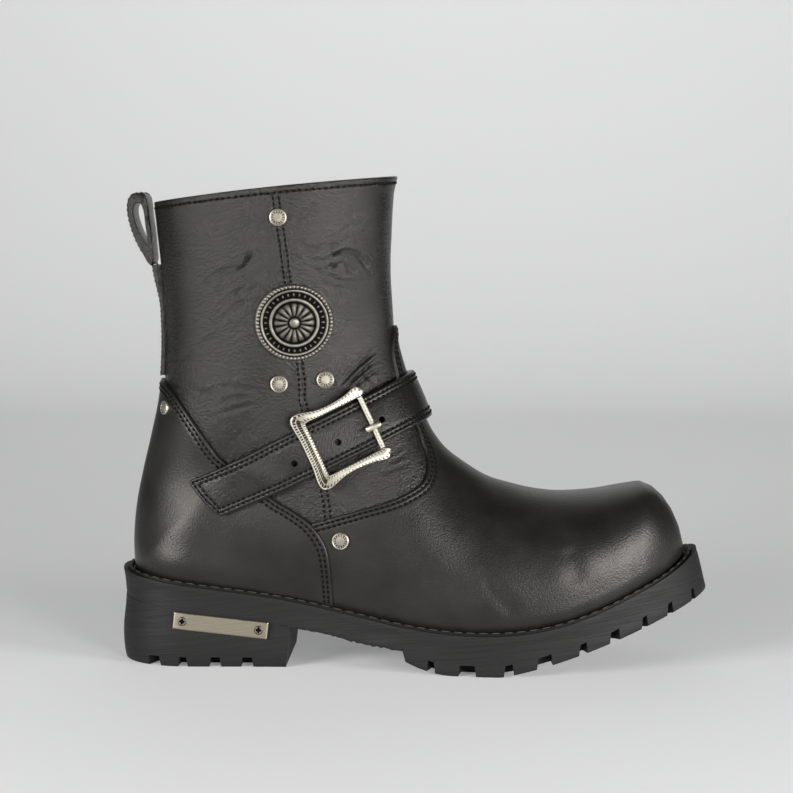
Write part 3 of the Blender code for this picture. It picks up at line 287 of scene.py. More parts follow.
def nearPath(points, path):  # distance in side view to a drawn path, and the share of the way along it
    spans = np.linalg.norm(np.diff(path, axis=0), axis=1)
    total = spans.sum()
    best = np.full(points.shape[:-1], 1e9)
    share = np.zeros(points.shape[:-1])
    gone = 0.0
    for start, end, span in zip(path[:-1], path[1:], spans):
        t = np.clip(((points - start) @ (end - start)) / span ** 2, 0, 1)
        away = np.linalg.norm(points - start - t[..., None] * (end - start), axis=-1)
        closer = away < best
        best = np.where(closer, away, best)
        share = np.where(closer, (gone + t * span) / total, share)
        gone += span
    return best, share


def smoothPath(points, steps):
    rows = table("row x z", [(i, *point) for i, point in enumerate(points)])
    keys = np.linspace(0, len(points) - 1, (len(points) - 1) * steps + 1)
    return np.stack([at(rows, "x", keys), at(rows, "z", keys)], -1)


seamLine = smoothPath([(-71.5, 260.0), (-69.2, 243.1), (-67.0, 227.8), (-64.3, 206.2), (-58.4, 163.1),
                       (-56.2, 139.8), (-45.9, 95.7), (-44.0, 80.0)], 3)
seamSizes = {"depth": 0.55, "wide": 0.9, "rowAway": 1.5, "ridge": 0.35, "ridgeWide": 1.3, "stitchTop": 250,
             "stations": 160, "stitchLift": 0.1}
seamStitch = {"pitch": 2.7, "length": 1.3, "thick": 0.8, "hole": 1.2, "holeLength": 1.9}


def creaseHeight(points):
    side = points[..., [0, 2]]
    inner = points[..., 1] > 0
    height = np.zeros(side.shape[:-1])
    for depth, wide, path in creases:
        away, share = nearPath(side, smoothPath(path, 4))
        fade = ease(0, creaseSizes["fadeIn"], share) * ease(0, creaseSizes["fadeOut"], 1 - share)
        lip = creaseSizes["lip"] * np.exp(-((away / wide - creaseSizes["lipAway"]) / creaseSizes["lipWide"]) ** 2)
        height += depth * creaseSizes["depth"] * fade * (lip - np.exp(-(away / wide) ** 2))
    height *= np.where(inner, creaseSizes["innerShare"], 1.0)
    away, _ = nearPath(side, seamLine)
    seam = seamSizes["ridge"] * np.exp(-((away - seamSizes["rowAway"]) / seamSizes["ridgeWide"]) ** 2)
    seam -= seamSizes["depth"] * np.exp(-(away / seamSizes["wide"]) ** 2)
    return height + np.where(inner, 0.0, seam)


slack = {"slow": 0.30, "quick": 0.20, "startZ": (95, 150), "endZ": (238, 256)}


def slackHeight(points):  # slow waves that a real shaft has
    x, y, z = np.moveaxis(points, -1, 0)
    waves = slack["slow"] * np.sin(x / 17 + z / 31 + 0.7) * np.sin(z / 23 - y / 29 + 1.9)
    waves += slack["quick"] * np.sin(x / 9.5 - z / 13 + 2.2) * np.sin(y / 15 + z / 11)
    return waves * ease(*slack["startZ"], z) * (1 - ease(*slack["endZ"], z))


def offSkin(v, u, offset):
    points = skin(v, u)
    normals = skinNormal(v, u)
    raised = points + normals * (np.asarray(offset) + creaseHeight(points) + slackHeight(points))[..., None]
    raised[..., 2] = np.maximum(raised[..., 2], seatZ(raised[..., 0]) + gap)
    return raised


# fine net of the plain skin, to find where a line from inside the boot leaves it

def gridFaces(rows, columns, first=0):
    i, j = np.meshgrid(np.arange(rows - 1), np.arange(columns - 1), indexing="ij")
    a = (first + i * columns + j).ravel()
    return np.stack([a, a + 1, a + columns + 1, a + columns], -1)


netV, netU = np.meshgrid(np.linspace(0, last["vCollar"], 4 * last["vCollar"] + 1), np.linspace(-1, 1, 121),
                         indexing="ij")
skinNet = BVHTree.FromPolygons(skin(netV, netU).reshape(-1, 3).tolist(), gridFaces(*netV.shape).tolist(), epsilon=0.001)


def findSkin(start, direction):
    place, normal, _, _ = skinNet.ray_cast(Vector(start), Vector(direction))
    return np.array(place), np.array(normal if normal.dot(Vector(direction)) > 0 else -normal)


print("skin ready")


# meshes

def newObject(name, data):
    made = bpy.data.objects.new(name, data)
    bpy.context.collection.objects.link(made)
    return made


def shadeMesh(mesh, sharp):
    mesh.shade_smooth()
    mesh.set_sharp_from_angle(angle=math.radians(sharp))


def makePiece(name, points, faces, materials, faceSlots=None, recess=None, sharp=40, weld=0.004):
    mesh = bpy.data.meshes.new(name)
    mesh.from_pydata((np.asarray(points).reshape(-1, 3) * mm + shift).tolist(), [], [tuple(face) for face in faces])
    for material in materials:
        mesh.materials.append(finishes[material])
    if faceSlots is not None:
        mesh.polygons.foreach_set("material_index", np.asarray(faceSlots, np.int32))
    if recess is not None:
        mesh.attributes.new("recess", "FLOAT", "POINT").data.foreach_set("value", np.asarray(recess, np.float32).ravel())
    work = bmesh.new()
    work.from_mesh(mesh)
    bmesh.ops.remove_doubles(work, verts=work.verts, dist=weld * mm)
    bmesh.ops.dissolve_degenerate(work, edges=work.edges, dist=0.001 * mm)
    bmesh.ops.recalc_face_normals(work, faces=work.faces)
    work.to_mesh(mesh)
    work.free()
    shadeMesh(mesh, sharp)
    return newObject(name, mesh)


def settle(piece, slot, *nodes):
    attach(piece, "root")
    for node in nodes:
        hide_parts(node)
    print("  made", piece.name, len(piece.data.polygons), "faces")
    return piece


def rim(fine, coarse, ratio):  # faces between a fine and a coarse run of point numbers
    faces = []
    for i in range(len(coarse) - 1):
        half = ratio // 2
        for k in range(ratio):
            a, b = fine[i * ratio + k], fine[i * ratio + k + 1]
            faces.append((a, b, coarse[i] if k <= half else coarse[i + 1]))
            if k == half:
                faces.append((b, coarse[i + 1], coarse[i]))
    return faces


def whole(*edges):
    return [(edge, 0, None) for edge in edges]


def shellOf(outer, inner, ratio, edges):  # a wall from a fine outer grid and a coarser inner one, closed along edges
    fineAt = np.arange(outer[..., 0].size).reshape(outer.shape[:2])
    coarseAt = fineAt.size + np.arange(inner[..., 0].size).reshape(inner.shape[:2])
    faces = [*gridFaces(*fineAt.shape), *gridFaces(*coarseAt.shape, fineAt.size)[:, ::-1]]
    sides = {"start": 0, "end": -1, "left": (slice(None), 0), "right": (slice(None), -1)}
    for edge, low, high in edges:
        faces += rim(fineAt[sides[edge]][low * ratio:], coarseAt[sides[edge]][low:high], ratio)
    return np.concatenate([outer.reshape(-1, 3), inner.reshape(-1, 3)]), faces


# node trees

def addSockets(tree, inputs, outputs):
    for label, kind, value in inputs:
        socket = tree.interface.new_socket(label, in_out="INPUT", socket_type="NodeSocket" + kind)
        if value is not None:
            socket.default_value = value
    for label, kind in outputs:
        tree.interface.new_socket(label, in_out="OUTPUT", socket_type="NodeSocket" + kind)
    return tree.nodes.new("NodeGroupInput").outputs, tree.nodes.new("NodeGroupOutput").inputs


def addNode(tree, kind, inputs, **settings):  # each input is a value, or a socket to link from
    node = tree.nodes.new(kind)
    for label, value in settings.items():
        setattr(node, label, value)
    for socket, value in inputs.items():
        if isinstance(value, bpy.types.NodeSocket):
            tree.links.new(value, node.inputs[socket])
        else:
            node.inputs[socket].default_value = value
    return node.outputs


def buildStitchTree():  # threads along a run, with near-black beads between them as painted shade of the stitch holes
    tree = bpy.data.node_groups.new("stitchRow", "GeometryNodeTree")
    start, end = addSockets(tree, [
        ("Path", "Geometry", None), ("Pitch", "Float", 0.0028), ("Length", "Float", 0.002),
        ("Thickness", "Float", 0.0008), ("Hole", "Float", 0.0009), ("HoleLength", "Float", 0.0012),
        ("Thread", "Material", None), ("Dark", "Material", None)], [("Geometry", "Geometry")])
    curve = addNode(tree, "GeometryNodeMeshToCurve", {"Mesh": start["Path"]})
    half = addNode(tree, "ShaderNodeMath", {0: start["Pitch"], 1: 0.5}, operation="MULTIPLY")
    trim = addNode(tree, "GeometryNodeTrimCurve", {"Curve": curve["Curve"], 4: half[0], 5: 100.0}, mode="LENGTH")
    joined = tree.nodes.new("GeometryNodeJoinGeometry")
    kinds = [  # path, size along, size across, material
        (curve["Curve"], "Length", "Thickness", "Thread"),
        # the second kind is painted shade: near-black beads where the thread sinks into its shaded stitch holes, darker
        # than the black thread itself
        (trim["Curve"], "HoleLength", "Hole", "Dark"),
    ]
    for path, along, across, material in kinds:
        points = addNode(tree, "GeometryNodeCurveToPoints", {"Curve": path, "Length": start["Pitch"]}, mode="LENGTH")
        turned = addNode(tree, "FunctionNodeAlignRotationToVector", {"Vector": points["Tangent"]}, axis="X")
        bead = addNode(tree, "GeometryNodeMeshUVSphere", {"Segments": 6, "Rings": 5, "Radius": 0.5})
        size = addNode(tree, "ShaderNodeCombineXYZ", {"X": start[along], "Y": start[across], "Z": start[across]})
        spread = addNode(tree, "GeometryNodeInstanceOnPoints", {
            "Points": points["Points"], "Instance": bead["Mesh"], "Rotation": turned["Rotation"], "Scale": size["Vector"]})
        real = addNode(tree, "GeometryNodeRealizeInstances", {"Geometry": spread["Instances"]})
        smooth = addNode(tree, "GeometryNodeSetShadeSmooth", {"Geometry": real["Geometry"]})
        finish = addNode(tree, "GeometryNodeSetMaterial", {"Geometry": smooth["Geometry"], "Material": start[material]})
        tree.links.new(finish["Geometry"], joined.inputs["Geometry"])
    tree.links.new(joined.outputs["Geometry"], end["Geometry"])
    return tree


def applyChange(piece):  # the changed shape as a plain mesh
    depsgraph = bpy.context.evaluated_depsgraph_get()
    mesh = bpy.data.meshes.new_from_object(piece.evaluated_get(depsgraph))
    piece.modifiers.clear()
    piece.data = mesh


def buildGrainGroup():  # pebbled leather: fine cells with soft patches of tone
    tree = bpy.data.node_groups.new("leatherGrain", "ShaderNodeTree")
    start, end = addSockets(tree, [("Cells", "Float", 1100.0), ("Stretch", "Vector", (1.0, 1.0, 1.0))],
                            [("Height", "Float"), ("Tone", "Float")])
    place = addNode(tree, "ShaderNodeTexCoord", {})["Object"]
    stretched = addNode(tree, "ShaderNodeVectorMath", {0: place, 1: start["Stretch"]}, operation="MULTIPLY")[0]
    wander = addNode(tree, "ShaderNodeTexNoise", {"Vector": stretched, "Scale": 420.0, "Detail": 1.0})
    bent = addNode(tree, "ShaderNodeVectorMath", {0: wander["Color"], 1: (0.0009, 0.0009, 0.0009), 2: stretched},
                   operation="MULTIPLY_ADD")
    cells = addNode(tree, "ShaderNodeTexVoronoi", {"Vector": bent[0], "Scale": start["Cells"], "Smoothness": 0.35},
                    feature="SMOOTH_F1")
    fine = addNode(tree, "ShaderNodeTexNoise", {"Vector": stretched, "Scale": 2600.0, "Detail": 2.0})
    height = addNode(tree, "ShaderNodeMath", {0: cells["Distance"], 1: -0.9, 2: fine["Fac"]}, operation="MULTIPLY_ADD")
    patches = addNode(tree, "ShaderNodeTexNoise", {"Vector": place, "Scale": 45.0, "Detail": 5.0, "Roughness": 0.6})
    tree.links.new(height[0], end["Height"])
    tree.links.new(patches["Fac"], end["Tone"])
    return tree


def buildStreakGroup():  # brushed or rubbed lines along one direction, over a fine speckle
    tree = bpy.data.node_groups.new("rubbedLines", "ShaderNodeTree")
    start, end = addSockets(tree, [("Lines", "Vector", (40.0, 40.0, 900.0)), ("Turn", "Vector", (0.0, 0.0, 0.0)),
                                   ("Speckle", "Float", 1600.0)], [("Height", "Float"), ("Tone", "Float")])
    place = addNode(tree, "ShaderNodeTexCoord", {})["Object"]
    turned = addNode(tree, "ShaderNodeMapping", {"Vector": place, "Rotation": start["Turn"]})
    scaled = addNode(tree, "ShaderNodeVectorMath", {0: turned["Vector"], 1: start["Lines"]}, operation="MULTIPLY")
    lines = addNode(tree, "ShaderNodeTexNoise", {"Vector": scaled[0], "Scale": 1.0, "Detail": 4.0})
    speckle = addNode(tree, "ShaderNodeTexNoise", {"Vector": place, "Scale": start["Speckle"], "Detail": 2.0})
    height = addNode(tree, "ShaderNodeMath", {0: speckle["Fac"], 1: 0.5, 2: lines["Fac"]}, operation="MULTIPLY_ADD")
    tree.links.new(height[0], end["Height"])
    tree.links.new(lines["Fac"], end["Tone"])
    return tree


grainGroup = buildGrainGroup()
streakGroup = buildStreakGroup()


# finishes

def newMaterial(name):
    material = bpy.data.materials.new(name)
    material.use_nodes = True
    return material, material.node_tree, material.node_tree.nodes["Principled BSDF"].inputs


def toneColour(tree, tone, low, high, shader, span=(0.3, 0.7)):  # colour between two tones
    ramp = tree.nodes.new("ShaderNodeValToRGB")
    for element, position, colour in zip(ramp.color_ramp.elements, span, (low, high)):
        element.position = position
        element.color = (*colour, 1.0)
    tree.links.new(tone, ramp.inputs["Fac"])
    tree.links.new(ramp.outputs["Color"], shader["Base Color"])


def toneRough(tree, tone, low, high, shader, span=(0.3, 0.7)):
    change = addNode(tree, "ShaderNodeMapRange", {
        "From Min": span[0], "From Max": span[1], "To Min": low, "To Max": high, "Value": tone})
    tree.links.new(change["Result"], shader["Roughness"])


def addBump(tree, height, strength, distance, shader):
    raised = addNode(tree, "ShaderNodeBump", {"Strength": strength, "Distance": distance, "Height": height})
    tree.links.new(raised["Normal"], shader["Normal"])


def leather(name, look):
    material, tree, shader = newMaterial(name)
    grain = addNode(tree, "ShaderNodeGroup", {"Cells": look["cells"], "Stretch": look.get("stretch", (1.0, 1.0, 1.0))},
                    node_tree=grainGroup)
    toneColour(tree, grain["Tone"], look["dark"], look["light"], shader)
    toneRough(tree, grain["Tone"], look["rough"] - 0.04, look["rough"] + 0.05, shader)
    addBump(tree, grain["Height"], look["bump"], 0.0006, shader)
    shader["Specular IOR Level"].default_value = look["gloss"]
    shader["Specular Tint"].default_value = (1.0, 0.95, 0.89, 1.0)
    return material


def rubbed(name, look):
    material, tree, shader = newMaterial(name)
    given = {label: look[label] for label in ("Lines", "Turn", "Speckle") if label in look}
    lines = addNode(tree, "ShaderNodeGroup", given, node_tree=streakGroup)
    toneColour(tree, lines["Tone"], look["dark"], look["light"], shader)
    toneRough(tree, lines["Tone"], look["rough"] + 0.06, look["rough"] - 0.06, shader)
    addBump(tree, lines["Height"], look["bump"], 0.0005, shader)
    shader["Metallic"].default_value = look.get("metal", 0.0)
    shader["Specular IOR Level"].default_value = look.get("gloss", 0.5)
    return material


def agedMetal(name, look):  # bright where it is raised and handled, dark in the recesses
    material, tree, shader = newMaterial(name)
    lines = addNode(tree, "ShaderNodeGroup", {"Lines": (500.0, 500.0, 500.0), "Speckle": 2200.0}, node_tree=streakGroup)
    recess = addNode(tree, "ShaderNodeAttribute", {}, attribute_name="recess")
    grime = addNode(tree, "ShaderNodeMath", {0: lines["Tone"], 1: 0.35, 2: recess["Fac"]}, operation="MULTIPLY_ADD")
    toneColour(tree, grime[0], look["bright"], look["dark"], shader, (0.3, 0.95))
    toneRough(tree, grime[0], look["rough"], look["rough"] + 0.3, shader, (0.2, 1.0))
    addBump(tree, lines["Height"], look["bump"], 0.0002, shader)
    shader["Metallic"].default_value = 1.0
    return material


finishes = {
    "shaft": leather("shaftLeather", {
        "cells": 700.0, "dark": (0.0066, 0.0064, 0.006), "light": (0.0115, 0.0111, 0.0105),
        "rough": 0.24, "bump": 0.5, "gloss": 0.36}),
    "foot": leather("footLeather", {
        "cells": 950.0, "dark": (0.0066, 0.0064, 0.006), "light": (0.0115, 0.0111, 0.0105),
        "rough": 0.37, "bump": 0.2, "gloss": 0.4}),
    "strap": leather("strapLeather", {
        "cells": 900.0, "dark": (0.006, 0.0058, 0.0055), "light": (0.0105, 0.0102, 0.0098),
        "stretch": (1.5, 1.5, 0.7), "rough": 0.28, "bump": 0.3, "gloss": 0.36}),
    "lining": leather("liningLeather", {
        "cells": 900.0, "dark": (0.008, 0.0077, 0.0074), "light": (0.015, 0.0145, 0.014),
        "rough": 0.75, "bump": 0.2, "gloss": 0.3}),
    "welt": leather("weltLeather", {
        "cells": 1800.0, "dark": (0.003, 0.003, 0.003), "light": (0.005, 0.005, 0.005),
        "rough": 0.55, "bump": 0.2, "gloss": 0.16}),
    "rubber": rubbed("soleRubber", {
        "Lines": (32.0, 48.0, 850.0), "Turn": (0.0, 0.12, 0.0), "Speckle": 1500.0,
        "dark": (0.0078, 0.0077, 0.0075), "light": (0.0118, 0.0116, 0.0113),
        "rough": 0.6, "bump": 0.36, "gloss": 0.22}),
    "nickel": agedMetal("agedNickel", {
        "bright": (0.6, 0.56, 0.47), "dark": (0.03, 0.026, 0.02), "rough": 0.42, "bump": 0.15}),
    "silver": agedMetal("antiqueSilver", {
        "bright": (0.23, 0.215, 0.187), "dark": (0.006, 0.0056, 0.005), "rough": 0.4, "bump": 0.2}),
    "plate": rubbed("brushedPlate", {
        "Lines": (30.0, 30.0, 1400.0), "Turn": (0.0, 0.11, 0.0), "Speckle": 2500.0,
        "dark": (0.25, 0.218, 0.165), "light": (0.37, 0.33, 0.255), "rough": 0.42, "bump": 0.08, "metal": 1.0}),
    "thread": rubbed("blackThread", {
        "Lines": (900.0, 900.0, 900.0), "Speckle": 3000.0,
        "dark": (0.004, 0.004, 0.004), "light": (0.008, 0.008, 0.008), "rough": 0.5, "bump": 0.2, "gloss": 0.3}),
    "weltThread": rubbed("greyThread", {
        "Lines": (900.0, 900.0, 900.0), "Speckle": 3000.0,
        "dark": (0.018, 0.0173, 0.016), "light": (0.043, 0.0415, 0.038), "rough": 0.6, "bump": 0.2}),
    # painted shade: near-black beads that stand for the shaded stitch holes where the black thread sinks into the
    # leather
    "dark": rubbed("stitchHoleShade", {
        "Lines": (600.0, 600.0, 600.0), "Speckle": 2000.0,
        "dark": (0.002, 0.002, 0.002), "light": (0.004, 0.004, 0.004), "rough": 0.85, "bump": 0.1, "gloss": 0.1}),
}
stitchTree = buildStitchTree()


def makeStitches(name, lines, sizes, slot, thread="thread"):
    points, edges = [], []
    for line in lines:
        edges += [(len(points) + i, len(points) + i + 1) for i in range(len(line) - 1)]
        points += (np.asarray(line) * mm + shift).tolist()
    mesh = bpy.data.meshes.new(name)
    mesh.from_pydata(points, edges, [])
    piece = newObject(name, mesh)
    labels = {"Pitch": "pitch", "Length": "length", "Thickness": "thick", "Hole": "hole", "HoleLength": "holeLength"}
    values = {label: sizes[key] * mm for label, key in labels.items()}
    # the hole beads get the painted-shade finish
    values.update(Thread=finishes[thread], Dark=finishes["dark"])
    change = piece.modifiers.new(stitchTree.name, "NODES")
    change.node_group = stitchTree
    for item in stitchTree.interface.items_tree:
        if item.in_out == "INPUT" and item.name in values:
            change[item.identifier] = values[item.name]
    applyChange(piece)
    settle(piece, slot)


print("finishes ready")


# places on the skin

def sideToSkin(path):  # v and u of points drawn in side view
    x, z = path[..., 0], path[..., 1]
    low = np.ones_like(x)
    high = np.full_like(x, last["vCollar"])
    for _ in range(40):
        v = (low + high) / 2
        crestX, crestZ, baseX, baseZ, *_ = section(v)
        ahead = (baseX - crestX) * (z - crestZ) - (baseZ - crestZ) * (x - crestX) > 0
        high = np.where(ahead, v, high)
        low = np.where(ahead, low, v)
    crestX, crestZ, baseX, baseZ, _, _, wideAt, power = section(v)
    runX, runZ = baseX - crestX, baseZ - crestZ
    along = np.clip(((x - crestX) * runX + (z - crestZ) * runZ) / (runX ** 2 + runZ ** 2), 0, 1)
    upper = np.arccos(np.clip(1 - along / wideAt, 0, 1) ** (power / 2))
    lower = math.pi / 2 + np.arcsin(np.clip((along - wideAt) / (1 - wideAt), 0, 1))
    return v, np.where(along < wideAt, upper, lower) / math.pi


def frontToSkin(y, z):  # v and u of points on the front, by their distance from the middle and their height
    v = 1 + np.interp(z, sections["crestZ"][4:], sections["row"][4:])
    u = np.full_like(v, 0.1)
    for _ in range(14):
        point = skin(v, u)
        alongV, alongU = slopes(v, u)
        a, b, c, d = alongV[..., 1], alongU[..., 1], alongV[..., 2], alongU[..., 2]
        missY, missZ = y - point[..., 1], z - point[..., 2]
        det = a * d - b * c
        v = np.clip(v + (d * missY - b * missZ) / det, 1, last["vCollar"])
        u = np.clip(u + (a * missZ - c * missY) / det, 0.001, 0.6)
    return v, u


def resample(v, u, count):  # even steps along a run on the skin
    places = skin(v, u)
    gone = np.concatenate([[0], np.cumsum(np.linalg.norm(np.diff(places, axis=0), axis=1))])
    keys = np.linspace(0, gone[-1], count + 1)
    return np.interp(keys, gone, v), np.interp(keys, gone, u)


def softened(values, reach):
    padded = np.concatenate([np.full(reach, values[0]), values, np.full(reach, values[-1])])
    kernel = np.hanning(2 * reach + 3)[1:-1]
    smooth = np.convolve(padded, kernel / kernel.sum(), "valid")
    hold = np.minimum(np.arange(len(values)), np.arange(len(values))[::-1]) / reach
    return values + (smooth - values) * np.clip(hold, 0, 1)


def acrossRun(v, u):  # direction on the skin square to a run
    tangent = unit(np.gradient(skin(v, u), axis=0))
    return np.cross(skinNormal(v, u), tangent)


def walk(v, u, direction, away, steps=24):  # v and u after going some mm over the skin in a direction
    for _ in range(steps):
        alongV, alongU = slopes(v, u)
        a, b, c = [(p * q).sum(-1) for p, q in ((alongV, alongV), (alongV, alongU), (alongU, alongU))]
        r, s = (alongV * direction).sum(-1), (alongU * direction).sum(-1)
        det = np.maximum(a * c - b * b, 1e-6)
        v = np.clip(v + (c * r - b * s) / det * away / steps, 0.01, last["vCollar"])
        u = np.clip(u + (a * s - b * r) / det * away / steps, -1, 1)
    return v, u


edgeAway = np.array([0.0, 0.0, 0.22, 0.55, 0.95, 1.45, 2.0, 2.55, 3.2, 3.85, 4.4, 4.95, 5.8, 7.0])
edgeRise = np.array([-9.0, -0.55, -0.2, -0.02, 0.08, 0.02, -0.26, 0.04, 0.15, 0.04, -0.26, -0.04, 0.02, 0.0])
overlaySizes = {"under": 0.05, "stitchAway": (2.0, 4.4), "stitchLift": 0.16}
overlayStitch = {"pitch": 3.0, "length": 1.3, "thick": 0.85, "hole": 1.35, "holeLength": 2.1}


def overlayRows(v, u, inwards, thick):  # rows of an overlay from its edge inwards, with v, u and height
    rows = []
    done = 0.0
    rowV, rowU = v, u
    for away, rise in zip(edgeAway, edgeRise):
        if away > done:
            rowV, rowU = walk(rowV, rowU, inwards, away - done, 2)
            done = away
        rows.append((rowV, rowU, np.maximum(thick + rise, -0.1)))
    return rows


def overlayGrids(field):  # the outer face, and the underside on every third row and column
    coarse = field[::3, :, ::3]
    under = np.full_like(coarse[:, 2], overlaySizes["under"])
    return offSkin(field[:, 0], field[:, 1], field[:, 2]), offSkin(coarse[:, 0], coarse[:, 1], under)


def overlayLines(rows):  # the runs of its two stitch rows
    sewn = [rows[list(edgeAway).index(away)] for away in overlaySizes["stitchAway"]]
    return [offSkin(v, u, height + overlaySizes["stitchLift"]) for v, u, height in sewn]


# the counter and the vamp

counterPath = smoothPath([(-160.0, 151.0), (-138.7, 151.2), (-126.7, 145.9), (-113.5, 130.0), (-105.0, 117.5),
                          (-98.5, 110.8), (-74.0, 92.0), (-64.0, 86.2), (-52.8, 78.4), (-45.4, 67.7),
                          (-42.8, 56.0), (-41.8, 40.0), (-41.2, 20.0)], 6)
vampPath = smoothPath([(-74.0, 72.4), (-66.0, 75.0), (-51.0, 79.3), (-27.4, 86.4), (-8.7, 91.9), (4.3, 98.5),
                       (8.5, 103.0), (10.5, 108.0), (12.0, 114.0)], 6)
vampTab = table("z half", [
    (100, 30.0), (117, 18.0), (130, 15.0), (146, 13.0), (160, 12.0), (170, 10.6), (176, 7.6), (179.6, 1.5)])
counterSizes = {"columns": 120, "rows": 44, "overVamp": 0.8, "overZ": (74, 92), "height": gap + last["counterThick"]}
vampSizes = {"columns": 168, "rows": 98, "tuck": 12.0, "tuckTop": 72, "cornerX": -66.0, "tabTop": 180.2,
             "tabRows": 30, "tabStep": 6, "tabClear": 1.0, "soften": 5, "stitchClear": 1.5,
             "height": gap + last["vampThick"]}


def counterEdge():  # from the sole up to the back seam, on one side
    x, z = counterPath.T
    path = counterPath[(x > at(back, "x", z) + 0.4) & (z > seatZ(x) + 1)][::-1]
    v, u = sideToSkin(path)
    soleV, _ = sideToSkin(np.array([[path[0, 0] + 0.3, seatZ(path[0, 0]) + gap]]))
    seamZ = path[-1, 1] + 1.2
    seamV = 1 + np.interp(seamZ, sections["baseZ"][19:], sections["row"][19:])
    v = np.concatenate([soleV, v, [seamV]])
    u = np.concatenate([[1.0], u, [1.0]])
    return resample(v, u, counterSizes["columns"])


def makeCounter():
    v, u = counterEdge()
    overVamp = 1 - ease(*counterSizes["overZ"], skin(v, u)[:, 2])
    thick = counterSizes["height"] + counterSizes["overVamp"] * overVamp
    grids = []
    stitches = []
    for side in (-1, 1):
        rows = overlayRows(v, u * side, acrossRun(v, u * side) * -side, thick)
        rows = [(np.maximum.accumulate(rowV), np.append(rowU[:-1], side), height) for rowV, rowU, height in rows]
        stitches += [line[3:-2] for line in overlayLines(rows)]
        edgeV, edgeU, height = rows[-1]
        for k in range(1, counterSizes["rows"] + 1):
            share = k / counterSizes["rows"]
            rows.append((edgeV, edgeU + (side - edgeU) * share, height))
        grid = np.stack([np.stack(row) for row in rows])
        grids.append(grid if side < 0 else grid[..., ::-1][..., 1:])
    field = np.concatenate(grids, -1)
    outer, inner = overlayGrids(field)
    onSole = int(np.searchsorted(field[-1, 0, :counterSizes["columns"]], last["vHeel"])) // 3
    edges = whole("start", "left", "right")
    edges += [("end", 0, onSole + 2), ("end", inner.shape[1] - onSole - 2, None)]
    piece = makePiece("counter_leather", *shellOf(outer, inner, 3, edges), ["foot"], sharp=55)
    settle(piece, "foot_leather", "counter")
    makeStitches("counter_stitches", stitches, overlayStitch, "foot_leather")


def vampEdge():  # from the sole, under the counter, along the edge and up the tab to the front's middle
    x, z = counterPath.T
    under = counterPath[(z > seatZ(x) + 1) & (z < vampSizes["tuckTop"])][::-1] - np.array([vampSizes["tuck"], 0])
    soleV, _ = sideToSkin(np.array([[under[0, 0], seatZ(under[0, 0]) + gap]]))
    edge = vampPath[vampPath[:, 0] > vampSizes["cornerX"]]
    v, u = sideToSkin(np.concatenate([under, edge]))
    reach = np.abs(skin(v, u)[:, 1])
    half = at(vampTab, "half", np.concatenate([under, edge])[:, 1])
    clear = (reach > half + vampSizes["tabClear"]) | (np.arange(len(v)) < len(under))
    v, u = v[clear], u[clear]
    tabZ = np.linspace(skin(v[-1], u[-1])[2] + vampSizes["tabStep"], vampTab["z"][-1], vampSizes["tabRows"])
    tabV, tabU = frontToSkin(at(vampTab, "half", tabZ), tabZ)
    topV, _ = frontToSkin(np.array([0.5]), np.array([vampSizes["tabTop"]]))
    v = np.concatenate([soleV, v, tabV, topV])
    u = np.concatenate([[1.0], u, tabU, [0.0]])
    v, u = resample(v, u, vampSizes["columns"])
    return softened(v, vampSizes["soften"]), softened(u, vampSizes["soften"])


def makeVamp():
    v, u = vampEdge()
    v = np.concatenate([v, v[::-1][1:]])
    u = np.concatenate([-u, u[::-1][1:]])
    rows = overlayRows(v, u, -acrossRun(v, u), np.full_like(v, vampSizes["height"]))
    edgeV, edgeU, height = rows[-1]
    middle = len(v) // 2
    edgeU = np.concatenate([-np.maximum.accumulate(-edgeU[:middle + 1][::-1])[::-1],
                            np.maximum.accumulate(edgeU[middle + 1:])])
    spread = np.linspace(-1, 1, len(v))
    for k in range(1, vampSizes["rows"] + 1):
        share = k / vampSizes["rows"]
        rows.append((edgeV * (1 - share), edgeU + (spread - edgeU) * share, height))
    field = np.stack([np.stack(row) for row in rows])
    shell = shellOf(*overlayGrids(field), 3, whole("start", "left", "right"))
    settle(makePiece("vamp_leather", *shell, ["foot"], sharp=55), "foot_leather", "vamp")
    places = skin(*rows[0][:2])
    counterX = np.interp(places[:, 2], counterPath[::-1, 1], counterPath[::-1, 0])
    shown = places[:, 0] > counterX + vampSizes["stitchClear"]
    makeStitches("vamp_stitches", [line[shown] for line in overlayLines(rows)], overlayStitch, "foot_leather")


# the shaft, one wall from the sole to the collar

shaftSizes = {"columns": 342, "toeEnd": 8, "toeRows": 24, "rows": 201, "collarStitch": 3.2, "stitchLift": 0.15}
collarAway = np.array([12.0, 9.0, 7.0, 5.6, 4.8, 4.2, 3.7, 3.2, 2.7, 2.2, 1.5, 0.7, 0.0])
collarRise = np.array([0.0, 0.0, 0.0, 0.04, 0.1, 0.06, -0.1, -0.35, -0.25, -0.1, -0.05, -0.1, -0.25])
collarTurn = [(-0.5, 0.15), (-1.0, 0.2), (-1.75, 0.15)]  # offset and lift of the rows over the turned edge
collarStitch = {"pitch": 3.4, "length": 1.5, "thick": 0.85, "hole": 1.4, "holeLength": 2.4}


